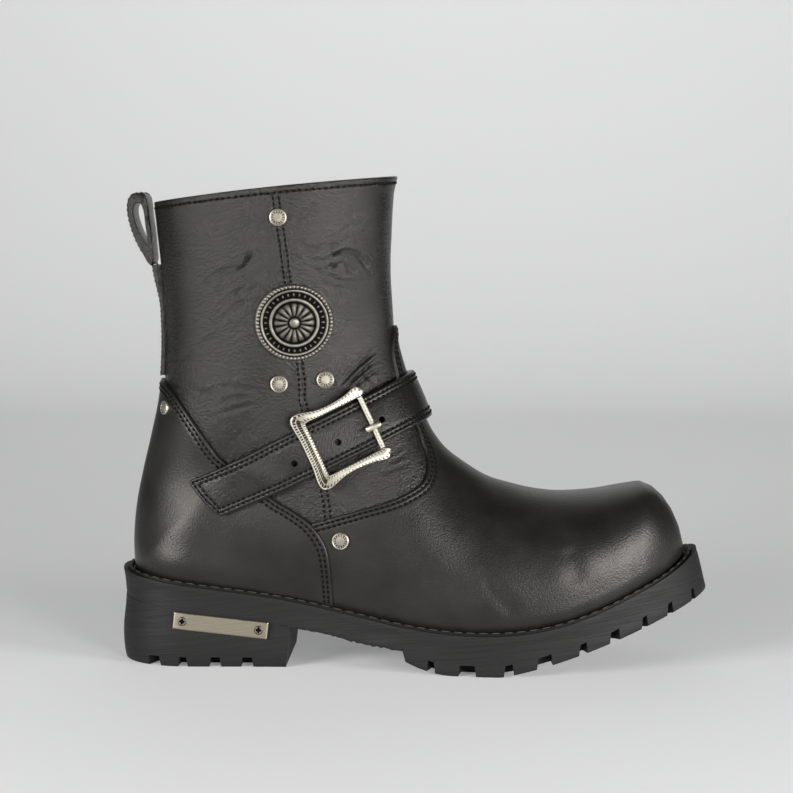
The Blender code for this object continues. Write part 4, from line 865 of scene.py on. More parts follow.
def makeShaft():
    u = np.linspace(-1, 1, shaftSizes["columns"] + 1)
    top = np.full_like(u, float(last["vCollar"]))
    alongV, _ = slopes(top - 0.02, u)
    perV = np.linalg.norm(alongV, axis=-1)
    toeEnd = shaftSizes["toeEnd"]
    rowsV = [np.full_like(u, v) for v in np.linspace(0, toeEnd, shaftSizes["toeRows"] + 1)[:-1]]
    start = top - collarAway[0] / perV
    rowsV += [toeEnd + (start - toeEnd) * share for share in np.linspace(0, 1, shaftSizes["rows"] + 1)[:-1]]
    rowsRise = [np.zeros_like(u)] * len(rowsV)
    for away, rise in zip(collarAway, collarRise):
        rowsV.append(top - away / perV)
        rowsRise.append(np.full_like(u, rise))
    fieldV, fieldRise = np.stack(rowsV), np.stack(rowsRise)
    outer = offSkin(fieldV, u[None], fieldRise)
    turned = [offSkin(top, u, np.full_like(u, offset)) + np.array([0, 0, lift]) for offset, lift in collarTurn]
    outer = np.concatenate([outer, np.stack(turned)])
    innerV = np.concatenate([fieldV, np.stack([top] * len(turned))])[::3, ::3]
    inner = offSkin(innerV, u[None, ::3], np.full_like(innerV, -last["wall"]))
    onSole = int((innerV[:, 0] <= last["vHeel"]).sum())
    points, faces = shellOf(outer, inner, 3, whole("end") + [("left", 0, onSole + 1), ("right", 0, onSole + 1)])
    outerCount, innerCount = [(grid.shape[0] - 1) * (grid.shape[1] - 1) for grid in (outer, inner)]
    slots = np.zeros(len(faces), int)
    slots[outerCount:outerCount + innerCount] = 1
    piece = makePiece("shaft_leather", points, faces, ["shaft", "lining"], faceSlots=slots, sharp=60)
    settle(piece, "shaft_leather", "upper")
    i = shaftSizes["toeRows"] + shaftSizes["rows"] + list(collarAway).index(shaftSizes["collarStitch"])
    line = offSkin(fieldV[i], u, fieldRise[i] + shaftSizes["stitchLift"])
    makeStitches("collar_stitches", [line], collarStitch, "shaft_leather")


def makeSeamStitches():  # two rows along the side seam
    lines = []
    tangent = unit(np.gradient(seamLine, axis=0))
    for side in (-1, 1):
        shown = seamLine + side * seamSizes["rowAway"] * np.stack([-tangent[:, 1], tangent[:, 0]], -1)
        v, u = sideToSkin(shown[shown[:, 1] < seamSizes["stitchTop"]])
        v, u = resample(v, u, seamSizes["stations"])
        lines.append(offSkin(v, -u, np.full_like(v, seamSizes["stitchLift"])))
    makeStitches("seam_stitches", lines, seamStitch, "shaft_leather")


makeShaft()
makeCounter()
makeVamp()
makeSeamStitches()
print("upper ready")


# helpers for pieces that lie on the skin or close round on themselves

def onSkinGrid(starts, directions):  # where lines from inside leave the skin, evened out, with normals
    starts, directions = np.broadcast_arrays(starts, directions)
    flat = zip(starts.reshape(-1, 3), directions.reshape(-1, 3))
    places = np.array([findSkin(start, direction)[0] for start, direction in flat]).reshape(starts.shape)
    for axis in (0, 1, 0, 1):
        inner = np.moveaxis(places, axis, 0)
        inner[1:-1] = (inner[:-2] + 2 * inner[1:-1] + inner[2:]) / 4
    normals = unit(np.cross(np.gradient(places, axis=0), np.gradient(places, axis=1)))
    facing = (normals * directions).sum(-1, keepdims=True)
    return places, normals * np.sign(facing)


def cubicTerms(a, b):
    return np.stack([np.ones_like(a), a, b, a * a, a * b, b * b, a ** 3, a * a * b, a * b * b, b ** 3], -1)


def skinPatch(centre, axisA, axisB, direction, reach, lift):  # smooth map from two flat measures to the skin
    a, b = np.meshgrid(np.linspace(-reach, reach, 11), np.linspace(-reach, reach, 11), indexing="ij")
    starts = centre + a[..., None] * axisA + b[..., None] * axisB
    places, normals = onSkinGrid(starts, direction)
    raised = places + normals * lift(places, b)[..., None]
    weights = np.linalg.lstsq(cubicTerms(a, b).reshape(-1, 10), raised.reshape(-1, 3), rcond=None)[0]
    face = findSkin(centre, direction)[1]
    return lambda a, b, height: cubicTerms(a, b) @ weights + np.asarray(height)[..., None] * face


def ringFaces(rows, columns, closeRows=False):  # a grid whose columns close round
    i, j = np.meshgrid(np.arange(rows if closeRows else rows - 1), np.arange(columns), indexing="ij")
    a, b = i * columns + j, i * columns + (j + 1) % columns
    nextRow = (i + 1) % rows * columns
    return np.stack([a, b, nextRow + (j + 1) % columns, nextRow + j], -1).reshape(-1, 4)


def tubeFaces(rows, columns):  # the same with both ends closed
    return [*ringFaces(rows, columns), range(columns), range((rows - 1) * columns, rows * columns)]


def circle(count):
    return np.linspace(0, 2 * math.pi, count + 1)[:-1]


def bump(value, middle, wide):
    return np.exp(-((value - middle) / wide) ** 2)


def carve(piece, cutter, sharp=38):
    change = piece.modifiers.new("carve", "BOOLEAN")
    change.operation = "DIFFERENCE"
    change.solver = "EXACT"
    change.use_self = True
    change.object = cutter
    applyChange(piece)
    bpy.data.objects.remove(cutter)
    shadeMesh(piece.data, sharp)


# the strap

strap = {
    "half": 13.2, "thick": 3.4, "hub": np.array([-38.0, 0.0, 124.5]), "lean": math.radians(25.5),
    "endAngle": math.radians(156.0), "farAngle": math.radians(-104), "slant": 0.003, "taper": 0.1, "slack": 0.2,
    "stepX": -82.3, "stepSlant": -0.79, "stepRun": 16.0, "tabFrom": -32.0, "tabTo": -14.0,
    "corner": 3.0, "cornerRun": 12.0, "stations": 240, "stitchAway": (2.1, 4.4), "stitchLift": 0.1,
    "holes": (-26.8, -2.4, 20.6), "holeAcross": -2.2, "holeRadius": 1.75, "holeDeep": 12,
}
strapEdge = np.array([0.0, 0.15, 0.3, 0.8, 1.4, 2.1, 2.9, 3.6, 4.4, 5.1, 7.0, 10.0, 13.2])
strapRise = np.array([-0.75, -0.4, -0.15, 0.0, 0.05, -0.28, 0.08, 0.08, -0.28, 0.0, 0.1, 0.2, 0.25])
strapStitch = {"pitch": 3.0, "length": 1.3, "thick": 0.85, "hole": 1.35, "holeLength": 2.1}
alongStrap = np.array([math.cos(strap["lean"]), 0, math.sin(strap["lean"])])
acrossStrap = np.array([-math.sin(strap["lean"]), 0, math.cos(strap["lean"])])
outward = np.array([0.0, -1.0, 0.0])


def strapLift(places, b):  # over the counter's edge, down onto the shaft, and over the vamp's tab
    x, outer = places[..., 0], places[..., 1] < 0
    onCounter = 1 - ease(0, strap["stepRun"], x - strap["stepX"] - strap["stepSlant"] * b)
    lift = gap + strap["slack"] + np.where(outer, (gap + last["counterThick"]) * onCounter, 0)
    return lift + (gap + last["vampThick"]) * ease(strap["tabFrom"], strap["tabTo"], x)


def strapRays(angle, b):
    starts = strap["hub"] + acrossStrap * b[..., None]
    return starts, alongStrap * np.cos(angle)[..., None] + outward * np.sin(angle)[..., None]


def makeStrap():
    angles = np.linspace(strap["endAngle"], strap["farAngle"], strap["stations"])
    middle, _ = onSkinGrid(*strapRays(np.stack([angles, angles], 1), np.zeros((strap["stations"], 2))))
    gone = np.concatenate([[0], np.cumsum(np.linalg.norm(np.diff(middle[:, 0], axis=0), axis=1))])
    reach = np.concatenate([strapEdge[:-2], np.linspace(8, gone[-1], 3 * int(gone[-1] / 3) - len(strapEdge) + 3)])
    reach = reach[:len(reach) - (len(reach) - 1) % 3]
    b = np.concatenate([strapEdge - strap["half"], strap["half"] - strapEdge[-2::-1]])
    edge = np.maximum(np.abs(b) - strap["half"] + strap["corner"], 0)
    nip = strap["corner"] - np.sqrt(np.maximum(strap["corner"] ** 2 - edge ** 2, 0))
    s = reach[:, None] + nip * np.clip(1 - reach[:, None] / strap["cornerRun"], 0, 1)
    share = s / gone[-1]
    width = b * (1 - strap["taper"] * (1 - share) ** 4)
    angle = np.interp(s, gone, angles) + strap["slant"] * b * (1 - share) ** 6
    places, normals = onSkinGrid(*strapRays(angle, width))
    fromSides = np.stack([strap["corner"] - (strap["half"] - np.abs(b) + 0 * s), strap["corner"] - s])
    edgeAwayHere = strap["corner"] - np.linalg.norm(np.maximum(fromSides, 0), axis=0) - np.minimum(fromSides.max(0), 0)
    lift = strapLift(places, width)
    top = lift + strap["thick"] + np.interp(edgeAwayHere, strapEdge, strapRise)
    outer = places + normals * top[..., None]
    inner = (places + normals * lift[..., None])[::3, ::3]
    shell = shellOf(outer, inner, 3, whole("start", "end", "left", "right"))
    piece = makePiece("strap_leather", *shell, ["strap"], sharp=50)
    work = bmesh.new()
    row = len(b) // 2
    shown = ((places[:, row] - strap["hub"]) * alongStrap).sum(-1)
    half = len(shown) // 2
    for place in strap["holes"]:
        i = int(np.abs(shown[:half] - place).argmin())
        spin = Vector(normals[i, row]).to_track_quat("Z", "Y").to_matrix().to_4x4()
        spin.translation = Vector((outer[i, row] + acrossStrap * strap["holeAcross"]) * mm + shift)
        bmesh.ops.create_cone(work, cap_ends=True, segments=20, radius1=strap["holeRadius"] * mm,
                              radius2=strap["holeRadius"] * mm, depth=strap["holeDeep"] * mm, matrix=spin)
    mesh = bpy.data.meshes.new("strapHoles")
    work.to_mesh(mesh)
    work.free()
    carve(piece, newObject("strapHoles", mesh))
    settle(piece, "strap_leather", "strap")
    lines = []
    sewn = places + normals * (top + strap["stitchLift"])[..., None]
    for away in strap["stitchAway"]:
        i = list(strapEdge).index(away)
        lines.append(np.concatenate([sewn[:i:-1, i], sewn[i, i:len(b) - i], sewn[i + 1:, len(b) - 1 - i]]))
    makeStitches("strap_stitches", lines, strapStitch, "strap_leather")


# the buckle

buckle = {
    "centre": np.array([-35.9, 0.0, 124.6]), "reach": 24.0, "stations": 401, "round": 24,
    "bar": 14.2, "barRadius": 1.35, "barLift": 1.65, "barHalf": 14.8, "barRings": 240, "ropes": 4, "turns": 9.0,
    "prongHalf": 4.6, "prongRadius": 1.45, "prongWide": 1.15, "prongLift": 3.15, "prongBack": 0.4, "prongB": -2.6,
    "prongRings": 17,
}
buckleFrame = table("row outerA outerB innerA innerB", [
    (0, 17.2, 17.2, 14.7, 15.1), (1, 14.4, 20.9, 12.4, 15.1), (2, 8.0, 19.3, 7.6, 15.1),
    (3, 0.0, 18.4, 0.0, 15.1), (4, -8.0, 18.9, -7.0, 15.1), (5, -17.8, 21.4, -14.4, 15.1),
    (6, -21.9, 18.4, -15.3, 14.0), (7, -21.3, 8.0, -15.3, 7.0), (8, -21.2, 0.0, -15.3, 0.0)])
buckleSide = table("share height recess", [  # from the outer edge over the face to the inner edge
    (0.0, 0.0, 0.5), (0.001, 1.4, 0.2), (0.04, 1.6, 0.2), (0.09, 1.6, 0.25), (0.12, 1.65, 0.55),
    (0.21, 1.9, 0.5), (0.3, 2.1, 0.55), (0.33, 2.35, 0.05), (0.37, 2.35, 0.05), (0.4, 1.85, 0.8),
    (0.46, 1.75, 0.75), (0.52, 1.75, 0.7), (0.58, 1.75, 0.75), (0.64, 1.85, 0.8), (0.68, 2.3, 0.25),
    (0.76, 2.35, 0.22), (0.84, 2.3, 0.22), (0.88, 2.2, 0.22), (0.92, 2.1, 0.22), (0.96, 1.9, 0.25),
    (0.999, 1.4, 0.2), (1.0, 0.0, 0.5)])
buckleArm = table("height recess", [
    (0.0, 0.5), (1.7, 0.1), (2.1, 0.0), (2.22, 0.0), (2.26, 0.05), (2.3, 0.05), (2.34, 0.05), (2.36, 0.0),
    (2.38, 0.0), (2.4, 0.0), (2.4, 0.0), (2.4, 0.0), (2.4, 0.0), (2.4, 0.0), (2.38, 0.0), (2.36, 0.0),
    (2.32, 0.05), (2.28, 0.05), (2.22, 0.0), (2.1, 0.0), (1.7, 0.2), (0.0, 0.5)])
buckleDots = {"pitch": 1.7, "armOuter": 0.16, "armInner": 0.84, "sideInner": 0.9, "armWide": 0.11, "sideWide": 0.06,
              "deep": 0.3, "grime": 0.95}
buckleWear = {"cornerRow": 5.2, "rows": 1.0, "face": (0.1, 0.9), "mean": 0.45, "change": 0.4, "sideRows": (5.2, 5.9)}
buckleHatch = {"pitch": 1.35, "bevel": (0.1, 0.31), "band": (0.39, 0.65), "slant": 9, "high": 0.16, "shine": 0.34}


def makeBuckle():
    def lift(places, b):
        return strapLift(places, b) + strap["thick"] + gap + strap["slack"]
    onBuckle = skinPatch(buckle["centre"], alongStrap, acrossStrap, outward, buckle["reach"], lift)
    stations = buckle["stations"]
    row = np.concatenate([np.linspace(0, 8, stations), np.linspace(8, 0, stations)[1:]])
    side = np.where(np.arange(len(row)) < stations, 1.0, -1.0)
    outerA, outerB, innerA, innerB = [at(buckleFrame, name, row)[:, None] for name in list(buckleFrame)[1:]]
    share = buckleSide["share"]
    a = outerA + (innerA - outerA) * share
    b = side[:, None] * (outerB + (innerB - outerB) * share)
    mid = len(share) // 2
    gone = np.cumsum(np.hypot(np.gradient(a[:, mid]), np.gradient(b[:, mid])))[:, None]

    def within(span):
        return (share > span[0]) & (share < span[1])

    # dotted borders on the arms, a hatched bevel and band on the long side, worn stipple at the corners
    onSide = ease(*buckleWear["sideRows"], row)[:, None]
    beat = np.maximum(np.cos(2 * math.pi * gone / buckleDots["pitch"]), 0)
    borders = sum(bump(share, buckleDots[edge], buckleDots["armWide"]) for edge in ("armOuter", "armInner"))
    dots = beat * (borders * (1 - onSide) + bump(share, buckleDots["sideInner"], buckleDots["sideWide"]) * onSide)
    hatch = np.where(within(buckleHatch["bevel"]) | within(buckleHatch["band"]),
                     np.cos(2 * math.pi * gone / buckleHatch["pitch"] + buckleHatch["slant"] * share), 0)
    stipple = np.sin(7.1 * gone + 31 * share) * np.sin(4.3 * gone - 23 * share + 1)
    worn = bump(row, buckleWear["cornerRow"], buckleWear["rows"])[:, None] * within(buckleWear["face"])
    worn = worn * (buckleWear["mean"] + buckleWear["change"] * stipple)
    height = buckleArm["height"] * (1 - onSide) + buckleSide["height"] * onSide
    height = height - buckleDots["deep"] * dots + buckleHatch["high"] * hatch * onSide
    recess = buckleArm["recess"] * (1 - onSide) + buckleSide["recess"] * onSide
    recess = recess + buckleDots["grime"] * dots - buckleHatch["shine"] * hatch * onSide + worn
    piece = makePiece("buckle_frame_metal", onBuckle(a, b, height), tubeFaces(*a.shape), ["nickel"],
                      recess=np.clip(recess, 0, 1), sharp=50)
    settle(piece, "nickel", "buckle_frame")

    turn = circle(buckle["round"])
    b = np.linspace(-buckle["barHalf"], buckle["barHalf"], buckle["barRings"])[:, None]
    twist = buckle["ropes"] * (turn - b / buckle["barHalf"] * math.pi * buckle["turns"])
    radius = buckle["barRadius"] * (0.95 + 0.05 * np.cos(twist))
    a = buckle["bar"] + radius * np.cos(turn)
    points = onBuckle(a, b + 0 * a, buckle["barLift"] + radius * np.sin(turn))
    piece = makePiece("buckle_bar_metal", points, tubeFaces(*a.shape), ["nickel"], recess=0.25 - 0.25 * np.cos(twist))
    settle(piece, "nickel", "buckle_bar")

    rise = np.linspace(-math.pi / 2, math.pi / 2, buckle["prongRings"])[:, None]
    straight = (buckle["prongHalf"] - buckle["prongRadius"]) * np.sign(np.round(np.sin(rise), 6))
    a = buckle["bar"] - buckle["prongBack"] + buckle["prongRadius"] * np.sin(rise) + straight + 0 * turn
    b = buckle["prongB"] + buckle["prongRadius"] * buckle["prongWide"] * np.cos(rise) * np.cos(turn)
    height = buckle["prongLift"] + buckle["prongRadius"] * np.cos(rise) * np.sin(turn)
    points = onBuckle(np.full_like(a, buckle["bar"]), b, height) + (a - buckle["bar"])[..., None] * alongStrap
    piece = makePiece("buckle_prong_metal", points, ringFaces(*a.shape), ["nickel"], recess=np.zeros(a.shape))
    settle(piece, "nickel", "buckle_prong")


# round trim

def makeDisc(name, centre, direction, rows, sides, detail, under, slot, finish, node):
    direction = unit(np.array(direction, float))
    axisA = unit(np.cross([0, 0, 1], direction))
    axisB = np.cross(direction, axisA)
    radius, height, recess = np.array(rows, float).T
    onDisc = skinPatch(np.array(centre, float), axisA, axisB, direction, radius.max() * 1.02,
                       lambda places, b: np.full_like(b, under + gap))
    turn = circle(sides)
    rise, grime = detail(radius[:, None], turn)
    height = np.concatenate([height[:, None] + rise, np.zeros((2, sides))])
    radius = np.concatenate([radius, [radius[-1], 0.0]])
    recess = np.concatenate([np.clip(recess[:, None] + grime, 0, 1), np.zeros((2, sides))])
    points = onDisc(radius[:, None] * np.cos(turn), radius[:, None] * np.sin(turn), height)
    piece = makePiece(name, points, ringFaces(*recess.shape), [finish], recess=recess, sharp=50, weld=0.01)
    settle(piece, slot, node)


rivetSides = 72
rivetPits = {"count": 14, "radius": 2.95, "wide": 0.4, "deep": 0.45, "grime": 0.9}
rivetRows = [  # radius, height and recess, as in the other discs
    (0.0, 1.5, 0.48), (0.7, 1.5, 0.48), (1.3, 1.48, 0.48), (1.8, 1.45, 0.48), (2.2, 1.4, 0.5), (2.5, 1.33, 0.55),
    (2.7, 1.28, 0.55), (2.9, 1.25, 0.48), (3.1, 1.25, 0.48), (3.3, 1.2, 0.48), (3.5, 1.1, 0.55), (3.7, 1.05, 0.65),
    (3.85, 1.25, 0.25), (4.05, 1.35, 0.15), (4.25, 1.25, 0.0), (4.4, 1.0, 0.1), (4.5, 0.7, 0.2)]
rivets = [  # node, place in side view, what lies under it
    ("rivet_shaft_top", -68.8, 239.2, 0.0),
    ("rivet_shaft_back", -69.5, 152.4, 0.0),
    ("rivet_shaft_front", -45.8, 154.1, 0.0),
    ("rivet_vamp", -37.0, 70.3, gap + last["vampThick"]),
]
counterRivet = {"scale": 0.82, "z": 137.2, "turn": math.radians(22.0), "axisX": -75.0}


def rivetDetail(radius, turn):  # a ring of small pits
    pits = bump(radius, rivetPits["radius"], rivetPits["wide"]) * np.maximum(np.cos(rivetPits["count"] * turn), 0) ** 2
    return -rivetPits["deep"] * pits, rivetPits["grime"] * pits


concho = {"x": -61.5, "z": 184.7, "sides": 288, "petals": 16, "beads": 60, "ropes": 72, "studs": 32}
conchoRings = table("radius wide rise shine", [  # petals, a rope ring, small studs and a beaded edge
    (6.9, 3.0, 0.55, 0.65), (12.1, 0.6, 0.18, 0.3), (14.7, 0.6, 0.4, 0.7), (18.8, 0.8, 0.3, 0.4)])
conchoRows = [(0.0, 3.00, 0.30), (0.8, 2.97, 0.25), (1.5, 2.85, 0.20), (2.2, 2.60, 0.30), (2.7, 2.20, 0.90),
              (3.1, 2.00, 0.95), (3.6, 2.10, 0.70), (4.4, 2.25, 0.66), (5.3, 2.35, 0.66), (6.5, 2.40, 0.66),
              (7.6, 2.38, 0.66), (8.8, 2.30, 0.66), (9.7, 2.10, 0.66), (10.4, 1.75, 0.90), (10.9, 1.60, 0.95),
              (11.2, 1.75, 0.70), (11.6, 2.05, 0.30), (12.1, 2.15, 0.20), (12.6, 2.05, 0.40), (13.0, 1.70, 0.90),
              (13.5, 1.50, 0.90), (14.3, 1.50, 0.90), (15.0, 1.50, 0.90), (15.7, 1.50, 0.90), (16.2, 1.75, 0.60),
              (16.6, 2.05, 0.20), (17.0, 2.10, 0.20), (17.4, 1.80, 0.80), (17.7, 1.65, 0.90), (18.0, 1.75, 0.60),
              (18.4, 1.95, 0.40), (18.9, 2.00, 0.30), (19.3, 1.85, 0.30), (19.7, 1.50, 0.15), (20.0, 1.10, 0.40)]


def conchoDetail(radius, turn):
    waves = [np.abs(np.cos(concho["petals"] / 2 * turn)) - 0.5, np.cos(concho["ropes"] * turn + 4 * radius),
             np.maximum(np.cos(concho["studs"] * turn), 0) ** 2, np.cos(concho["beads"] * turn)]
    places = zip(conchoRings["radius"], conchoRings["wide"], waves)
    shapes = [bump(radius, middle, wide) * wave for middle, wide, wave in places]
    rise, shine = [sum(share * shape for share, shape in zip(conchoRings[name], shapes)) for name in ("rise", "shine")]
    return rise, -shine


def makeTrim():
    for node, x, z, under in rivets:
        makeDisc(node + "_metal", (x, 0, z), outward, rivetRows, rivetSides, rivetDetail, under, "nickel", "nickel", node)
    backward = (-math.cos(counterRivet["turn"]), -math.sin(counterRivet["turn"]), 0)
    place = (counterRivet["axisX"], 0, counterRivet["z"])
    scale = counterRivet["scale"]
    small = [(radius * scale, height * scale, recess) for radius, height, recess in rivetRows]
    makeDisc("rivet_counter_metal", place, backward, small, rivetSides, rivetDetail, counterSizes["height"] - gap,
             "nickel", "nickel", "rivet_counter")
    makeDisc("medallion_metal", (concho["x"], 0, concho["z"]), outward, conchoRows, concho["sides"], conchoDetail, 0.0,
             "antique_silver", "silver", "medallion")


# the sole

soleGrooves = [(8.1, 12.2), (24.7, 33.6), (48.7, 53.4), (65.9, 73.6), (87.8, 92.0), (104.0, 109.1), (121.0, 124.0),
               (135.0, 138.0), (148.6, 150.6)]
heelGrooves = [(-141.7, -135.0), (-124.8, -120.0), (-107.9, -102.1), (-91.0, -84.9)]
grooveSizes = {"sole": 6.0, "heel": 5.4, "inward": 12.0, "outside": 6.0, "under": 3.0, "flare": 0.7, "narrow": 0.5,
               "middleHalf": 2.2, "middleReach": 22.0, "middleSlant": 5.0}
soleSizes = {"stations": 340, "ragFrom": -60.0, "ragTo": -6.0, "ragFade": 6, "rag": 0.55,
             "flushInset": 0.75, "flushFrom": -78.0, "flushTo": -56.0}
heelSizes = {"stations": 90, "roundTo": 0.98, "breastShares": [0.992, 1.0]}
heelWidest = 14.0  # height of the heel's widest ring


def roundShares(count):  # shares of the way from heel to toe, closer together at both ends
    return (1 - np.cos(np.linspace(0, math.pi, count))) / 2


def blend(first, second, share):
    return {name: first[name] + (second[name] - first[name]) * share for name in first}


def slabPoints(levels, shares):  # closed loops of points from heel to toe, down one side and up the other
    sides = []
    for side in ("lateral", "medial"):
        rows = []
        for ring, inset, height in levels:
            x = ring["heel"] + (ring["toe"] - ring["heel"]) * shares
            y = outline(x, ring, side)
            middle = (outline(x, ring, "lateral") + outline(x, ring, "medial")) / 2
            half = np.abs(y - middle)
            drawn = half - np.minimum(inset(x) if callable(inset) else inset, 0.5 * half)
            rows.append(np.stack([x, middle + np.sign(y - middle) * drawn, height(x)], -1))
        sides.append(rows if side == "lateral" else rows[::-1])
    return np.stack(sides[0] + sides[1], 1)


def grooveBlocks(grooves, ring, floorZ, depth):  # blocks that cut in from both edges, wider at the floor
    outside, inside = -grooveSizes["outside"], grooveSizes["inward"]
    blocks = []
    for side, sign in (("lateral", 1), ("medial", -1)):
        for low, high in grooves:
            edge = [np.array([x, float(outline(np.array(x), ring, side)), 0.0]) for x in (low, high)]
            run = unit(edge[1] - edge[0])
            inwards = np.array([-run[1], run[0], 0]) * sign
            corners = []
            for grow, level in ((grooveSizes["flare"], -grooveSizes["under"]), (-grooveSizes["narrow"], depth)):
                for place, reach in ((0, outside), (1, outside), (1, inside), (0, inside)):
                    corner = edge[place] + inwards * reach + run * grow * (1 if place else -1)
                    corner[2] = float(floorZ(np.array((low, high)[place]))) + level
                    corners.append(corner)
            blocks.append(corners)
    return blocks


def middleBlocks(grooves, floorZ, depth):  # slanted cuts between the middle lugs
    blocks = []
    for (_, start), (end, _) in zip(grooves[:-1], grooves[1:]):
        middle = np.array((start + end) / 2)
        centre = float(outline(middle, rings["low"], "medial") + outline(middle, rings["low"], "lateral")) / 2
        corners = []
        for level in (-grooveSizes["under"], depth):
            for x, y in ((-1, -1), (1, -1), (1, 1), (-1, 1)):
                place = float(middle) + x * grooveSizes["middleHalf"] + y * grooveSizes["middleSlant"]
                floorHere = float(floorZ(np.array(place)))
                corners.append((place, centre + y * grooveSizes["middleReach"], floorHere + level))
        blocks.append(corners)
    return blocks


def carveBlocks(piece, blocks):
    faces = []
    for first in range(0, 8 * len(blocks), 8):
        faces += [(first, first + 3, first + 2, first + 1), (first + 4, first + 5, first + 6, first + 7)]
        faces += [(first + k, first + (k + 1) % 4, first + 4 + (k + 1) % 4, first + 4 + k) for k in range(4)]
    carve(piece, makePiece("grooveBlocks", blocks, faces, []))


def makeOutsole():
    low = rings["low"]

    def lowX(x, ring):
        return low["heel"] + (x - ring["heel"]) / (ring["toe"] - ring["heel"]) * (low["toe"] - low["heel"])

    ragRandom = np.random.default_rng(7).uniform(-1, 1, 400)

    def rag(x):  # trimmed rubber along the arch
        start, end, fade = soleSizes["ragFrom"], soleSizes["ragTo"], soleSizes["ragFade"]
        inArch = ease(start, start + fade, x) * (1 - ease(end - fade, end, x))
        return soleSizes["rag"] * inArch * np.interp(x, np.linspace(-160, 160, len(ragRandom)), ragRandom)

    def flush(x):
        return soleSizes["flushInset"] * (1 - ease(soleSizes["flushFrom"], soleSizes["flushTo"], x))

    levels = []
    midShare = 0.4
    steps = [(0.0, 2.2, 0.0), (0.0, 0.9, 0.0), (0.0, 0.25, 0.2), (0.02, 0.0, 0.8)]  # share down the side, inset, drop
    steps += [(share, 0.0, 0.0) for share in (0.2, 0.4, 0.6, 0.8)]
    for share, inset, drop in steps:
        if share <= midShare:
            ring = blend(rings["rim"], rings["mid"], share / midShare)
        else:
            ring = blend(rings["mid"], low, (share - midShare) / (1 - midShare))

        def height(x, ring=ring, share=share, drop=drop):
            return seatZ(x) * (1 - share) + underZ(lowX(x, ring)) * share - drop
        levels.append((ring, (lambda x, inset=inset, share=share: inset + flush(x) * share), height))
    for inset, lift in ((0.0, 0.9), (0.25, 0.25), (0.9, 0.0), (4.0, 0.0)):

        def drawnIn(x, inset=inset):  # the bottom edge isn't rounded over the heel
            return inset * (1 if inset > 1 else 1 - flush(x) / soleSizes["flushInset"]) + flush(x)
        levels.append((low, drawnIn, lambda x, lift=lift: underZ(x) + lift + rag(x)))
    points = slabPoints(levels, roundShares(soleSizes["stations"]))
    piece = makePiece("outsole_rubber", points, ringFaces(*points.shape[:2]), ["rubber"], sharp=38)
    blocks = grooveBlocks(soleGrooves, low, treadZ, grooveSizes["sole"])
    carveBlocks(piece, blocks + middleBlocks(soleGrooves[:7], treadZ, grooveSizes["sole"]))
    settle(piece, "rubber", "outsole")


def heelRing(z):
    return {"heel": float(at(heelSide, "heel", z)), "toe": rings["rim"]["toe"], "inset": float(at(heelSide, "inset", z))}


def makeHeel():
    top = last["heelHigh"]
    rounded = (1 - np.cos(np.linspace(0, math.pi / 2, heelSizes["stations"]))) * heelSizes["roundTo"]
    shares = np.concatenate([rounded, heelSizes["breastShares"]])
    levels = [(z, 0.0) for z in (top, 29.0, 24.0, 19.0, 14.0, 9.0, 4.0, 1.0)]  # height and inset
    levels += [(0.3, 0.25), (0.0, 0.9), (0.0, 5.0)]
    sides = [[], []]
    for z, inset in levels:
        ring = heelRing(z)
        if z == top:
            ring["inset"] = soleSizes["flushInset"]
        breast = last["breastLow"] + last["breastLean"] * z / top
        x = ring["heel"] + (breast - ring["heel"]) * shares
        height = np.where(z == top, at(arch, "z", x) + 0.2, np.minimum(z, at(arch, "z", x) * z / top + 0.3))
        for k, side in enumerate(("lateral", "medial")):
            y = outline(x, ring, side)
            drawn = np.abs(y) - np.minimum(inset, 0.5 * np.abs(y))
            sides[k].append(np.stack([x, np.sign(y) * drawn, height + 0 * x], -1))
    points = np.stack(sides[0] + sides[1][::-1], 1)
    count = points.shape[1]
    end = (len(shares) - 1) * count
    breastFaces = [(end + k, end + k + 1, end + count - 2 - k, end + count - 1 - k) for k in range(len(levels) - 1)]
    piece = makePiece("heel_rubber", points, [*ringFaces(*points.shape[:2]), *breastFaces], ["rubber"], sharp=38)
    carveBlocks(piece, grooveBlocks(heelGrooves, heelRing(heelWidest), lambda x: 0 * x, grooveSizes["heel"]))
    settle(piece, "rubber", "heel")


def makeInsole():
    levels = [(rings["insole"], inset, lambda x, lift=lift: seatZ(x) + gap + lift)
              for inset, lift in ((3.0, 4.0), (0.8, 3.9), (0.0, 3.2), (0.0, 0.6), (0.4, 0.0))]
    points = slabPoints(levels, roundShares(90))
    settle(makePiece("insole_lining", points, ringFaces(*points.shape[:2]), ["lining"]), "lining", "insole")


weltRows = [  # ring and lift over the sole's rim, round the welt's section
    ({"heel": -153.4, "toe": 146.9, "inset": 3.3}, 0.05),
    ({"heel": -154.0, "toe": 147.5, "inset": 2.6}, 1.7),
    ({"heel": -154.6, "toe": 148.2, "inset": 2.1}, 1.95),
    ({"heel": -155.2, "toe": 148.8, "inset": 1.7}, 1.9),
    ({"heel": -155.6, "toe": 149.3, "inset": 1.35}, 1.6),
    ({"heel": -155.9, "toe": 149.6, "inset": 1.1}, 1.2),
    ({"heel": -156.1, "toe": 149.8, "inset": 1.0}, 0.6),
    ({"heel": -156.1, "toe": 149.8, "inset": 1.0}, 0.05),
]
weltSewn = ({"heel": -155.65, "toe": 149.35, "inset": 1.25}, 1.55)
weltStitch = {"pitch": 6.6, "length": 5.2, "thick": 0.6, "hole": 0.7, "holeLength": 1.0}


def weltLine(ring, lift):
    x = ring["heel"] + (ring["toe"] - ring["heel"]) * roundShares(240)
    outer, inner = [np.stack([x, outline(x, ring, side), seatZ(x) + lift], -1) for side in ("lateral", "medial")]
    return np.concatenate([outer, inner[-2:0:-1]])


